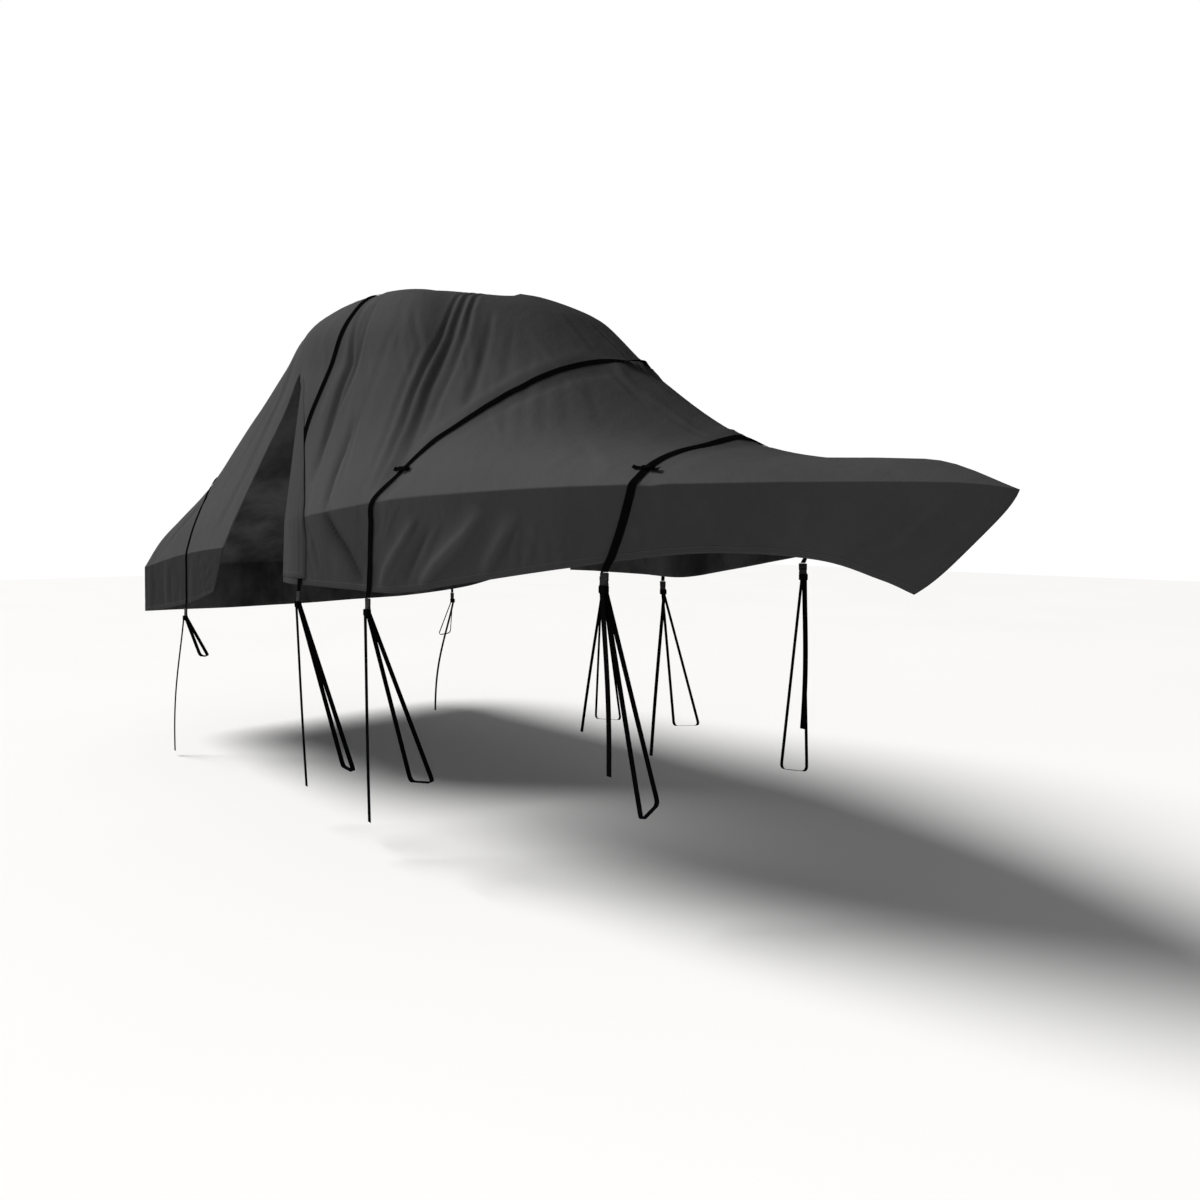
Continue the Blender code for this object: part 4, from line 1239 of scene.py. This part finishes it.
class WebbingLook(bpy.types.PropertyGroup):
    """Sizes and colours of straps, ties, tails and buckles."""

    colour: colour_setting("Webbing colour", "Base colour of all webbing", WEBBING_BLACK)
    buckle: colour_setting("Buckle colour", "Base colour of the moulded buckles", BUCKLE_BLACK)
    strap_width: number_setting(
        "Strap width", "Width of the straps over the cloth", 0.038, 0.02, 0.06,
        unit="LENGTH", precision=3,
    )


class StageLook(bpy.types.PropertyGroup):
    """Light on the studio stage."""

    key: number_setting(
        "Key light", "Strength of the soft light from above the stern", 3.8, 0.0, 20.0
    )
    fill: number_setting(
        "Fill light", "Power of the weak light from the bow", 40.0, 0.0, 2000.0, unit="POWER"
    )
    sky: number_setting("Surround", "Strength of the plain white surround", 0.16, 0.0, 3.0)


class COVER_OT_stage(bpy.types.Operator):
    """Camera at the photograph's angle, pale floor and soft light"""

    bl_idname = "cover.stage"
    bl_label = "Stage"

    def execute(self, context):
        look = context.scene.cover_stage
        camera = linked("Camera", bpy.data.cameras.new("Camera"))
        camera.data.lens = CAMERA_LENS
        camera.data.sensor_width = 36.0
        camera.data.shift_y = CAMERA_SHIFT_Y
        camera.data.clip_end = 200.0
        camera.location = placed(CAMERA_AT)
        camera.rotation_euler = (math.pi / 2, 0.0, CAMERA_YAW)
        context.scene.camera = camera
        context.scene.view_settings.view_transform = "Standard"
        for name, kind, at, energy, tint in (
            ("Key light", "SUN", KEY_AT, look.key, KEY_TINT),
            ("Fill light", "AREA", FILL_AT, look.fill, FILL_TINT),
        ):
            light = linked(name, bpy.data.lights.new(name, kind))
            light.data.energy = energy
            light.data.color = tint
            turn = (-Vector(at)).to_track_quat("-Z", "Y").to_matrix().to_4x4()
            light.matrix_world = Matrix.Translation(at) @ turn
            if kind == "SUN":
                light.data.angle = KEY_ANGLE
            else:
                light.data.shape = "DISK"
                light.data.size = FILL_SIZE
        world = bpy.data.worlds.new("Surround")
        world.use_nodes = True
        nodes, links = world.node_tree.nodes, world.node_tree.links
        background = nodes["Background"]
        background.inputs["Color"].default_value = (1.0, 1.0, 1.0, 1.0)
        seen = nodes.new("ShaderNodeLightPath").outputs["Is Camera Ray"]
        level = nodes.new("ShaderNodeMapRange")
        level.inputs["To Min"].default_value = look.sky
        level.inputs["To Max"].default_value = 1.0
        links.new(seen, level.inputs["Value"])
        links.new(level.outputs["Result"], background.inputs["Strength"])
        context.scene.world = world
        u = np.linspace(-FLOOR_HALF, FLOOR_HALF, 41)
        grid = np.stack(np.meshgrid(u, u, indexing="xy"), axis=2)
        points = np.concatenate([grid, np.full(grid.shape[:2] + (1,), GROUND)], axis=2)
        floor = linked("Floor", grids_to_mesh("Floor", [(1, points, grid, {})]))
        floor.data.materials.append(floor_material())
        return {"FINISHED"}


class COVER_OT_cords(bpy.types.Operator):
    """Tie loops and free tails below the buckles"""

    bl_idname = "cover.cords"
    bl_label = "Ties and tails"

    def execute(self, context):
        finish = webbing_material(tuple(context.scene.cover_webbing.colour))
        for tie in TIES:
            for side, word in SIDES.items():
                end = f"{tie.strap}_{word}"
                start = buckle_foot(end)
                centre = start + [0, side * KEEPER_OUT, -KEEPER_DROP]
                sleeve = block(centre, KEEPER_SIZE, KEEPER_POWER)
                keeper = new_piece(f"Keeper_{end}", closed_mesh(f"Keeper_{end}", [sleeve]), finish)
                hang_cord(
                    f"Tie_loop_{end}", f"tie_{end}", tie_route(tie, side, start), TIE_WIDTH,
                    finish,
                )
                hang_cord(
                    f"Tail_{end}", f"tail_{end}", tail_route(tie, side, start), TAIL_WIDTH,
                    finish,
                )
        return {"FINISHED"}


class COVER_OT_straps(bpy.types.Operator):
    """Webbing straps over the cloth, and the guides they run under"""

    bl_idname = "cover.straps"
    bl_label = "Straps"

    def execute(self, context):
        look = context.scene.cover_webbing
        finish = webbing_material(tuple(look.colour))
        panels = cloth_grids()
        for strap in STRAPS:
            name = f"Strap_{strap.name}"
            mesh = band_mesh(name, *laid_strap(strap, panels), look.strap_width)
            piece = new_piece(name, mesh, finish)
            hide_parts(f"strap_{strap.name}")
        for strap_name in GUIDED:
            for word in SIDES.values():
                name = f"Guide_{strap_name}_{word}"
                piece = new_piece(name, guide_mesh(name, name.lower()), finish)
                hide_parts(name.lower())
        return {"FINISHED"}


class COVER_OT_buckles(bpy.types.Operator):
    """Side-release buckles, one at each end of each strap"""

    bl_idname = "cover.buckles"
    bl_label = "Buckles"

    def execute(self, context):
        finish = moulded_material(tuple(context.scene.cover_webbing.buckle))
        for strap in STRAPS:
            for word in SIDES.values():
                name = f"Buckle_{strap.name}_{word}"
                low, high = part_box(name.lower())
                mesh = closed_mesh(name, buckle_grids(np.array((low + high) / 2)))
                piece = new_piece(name, mesh, finish)
                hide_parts(name.lower())
        return {"FINISHED"}


class COVER_OT_cloth(bpy.types.Operator):
    """The cover's cloth with its folds, hem and seams"""

    bl_idname = "cover.cloth"
    bl_label = "Cloth"

    def execute(self, context):
        look = context.scene.cover_cloth
        panels = cloth_grids()
        gauges = {}
        for strap in STRAPS:
            middle, way, _ = laid_strap(strap, panels)
            gauges[strap] = strap_gauge(strap, middle, way)
        grids = []
        for side, points, uv, marks in panels:
            for strap, gauge in gauges.items():
                points = press_under(points, strap, gauge)
            grids.append((side, points, uv, marks))
            if points.shape[1] == len(FORE_COLUMNS):
                grids.append(flap_grid(side, points, gauges[FLAP_STRAP]))
        mesh = cleaned(grids_to_mesh("Cloth", grids), SEAM_MERGE, outwards=False)
        colour = tuple(look.colour)
        piece = new_piece("Cloth", mesh, cloth_material(colour), lining_material(colour))
        wall = piece.modifiers.new("Wall", "SOLIDIFY")
        wall.thickness = look.thickness
        wall.offset = -1.0
        wall.material_offset = 1
        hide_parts("cover_cloth")
        return {"FINISHED"}


class COVER_PT_panel(bpy.types.Panel):
    """Lists the cover's pieces and settings"""

    bl_label = "Boat cover"
    bl_space_type = "VIEW_3D"
    bl_region_type = "UI"
    bl_category = "Boat cover"

    def draw(self, context):
        for group in GROUPS:
            settings = getattr(context.scene, group)
            for name in settings.bl_rna.properties.keys():
                if name not in ("rna_type", "name"):
                    self.layout.prop(settings, name)
        for operator in OPERATORS:
            self.layout.operator(operator.bl_idname)


OPERATORS = (COVER_OT_stage, COVER_OT_cords, COVER_OT_straps, COVER_OT_buckles, COVER_OT_cloth)
GROUPS = {"cover_cloth": CoverLook, "cover_webbing": WebbingLook, "cover_stage": StageLook}
CLASSES = (*GROUPS.values(), *OPERATORS, COVER_PT_panel)


def register():
    for made in CLASSES:
        bpy.utils.register_class(made)
    for name, group in GROUPS.items():
        setattr(bpy.types.Scene, name, PointerProperty(type=group))


def unregister():
    for name in GROUPS:
        delattr(bpy.types.Scene, name)
    for made in reversed(CLASSES):
        bpy.utils.unregister_class(made)


def main():
    register()
    bpy.ops.cover.stage()
    bpy.ops.cover.cords()
    bpy.ops.cover.straps()
    bpy.ops.cover.buckles()
    bpy.ops.cover.cloth()


if __name__ == "__main__":
    main()
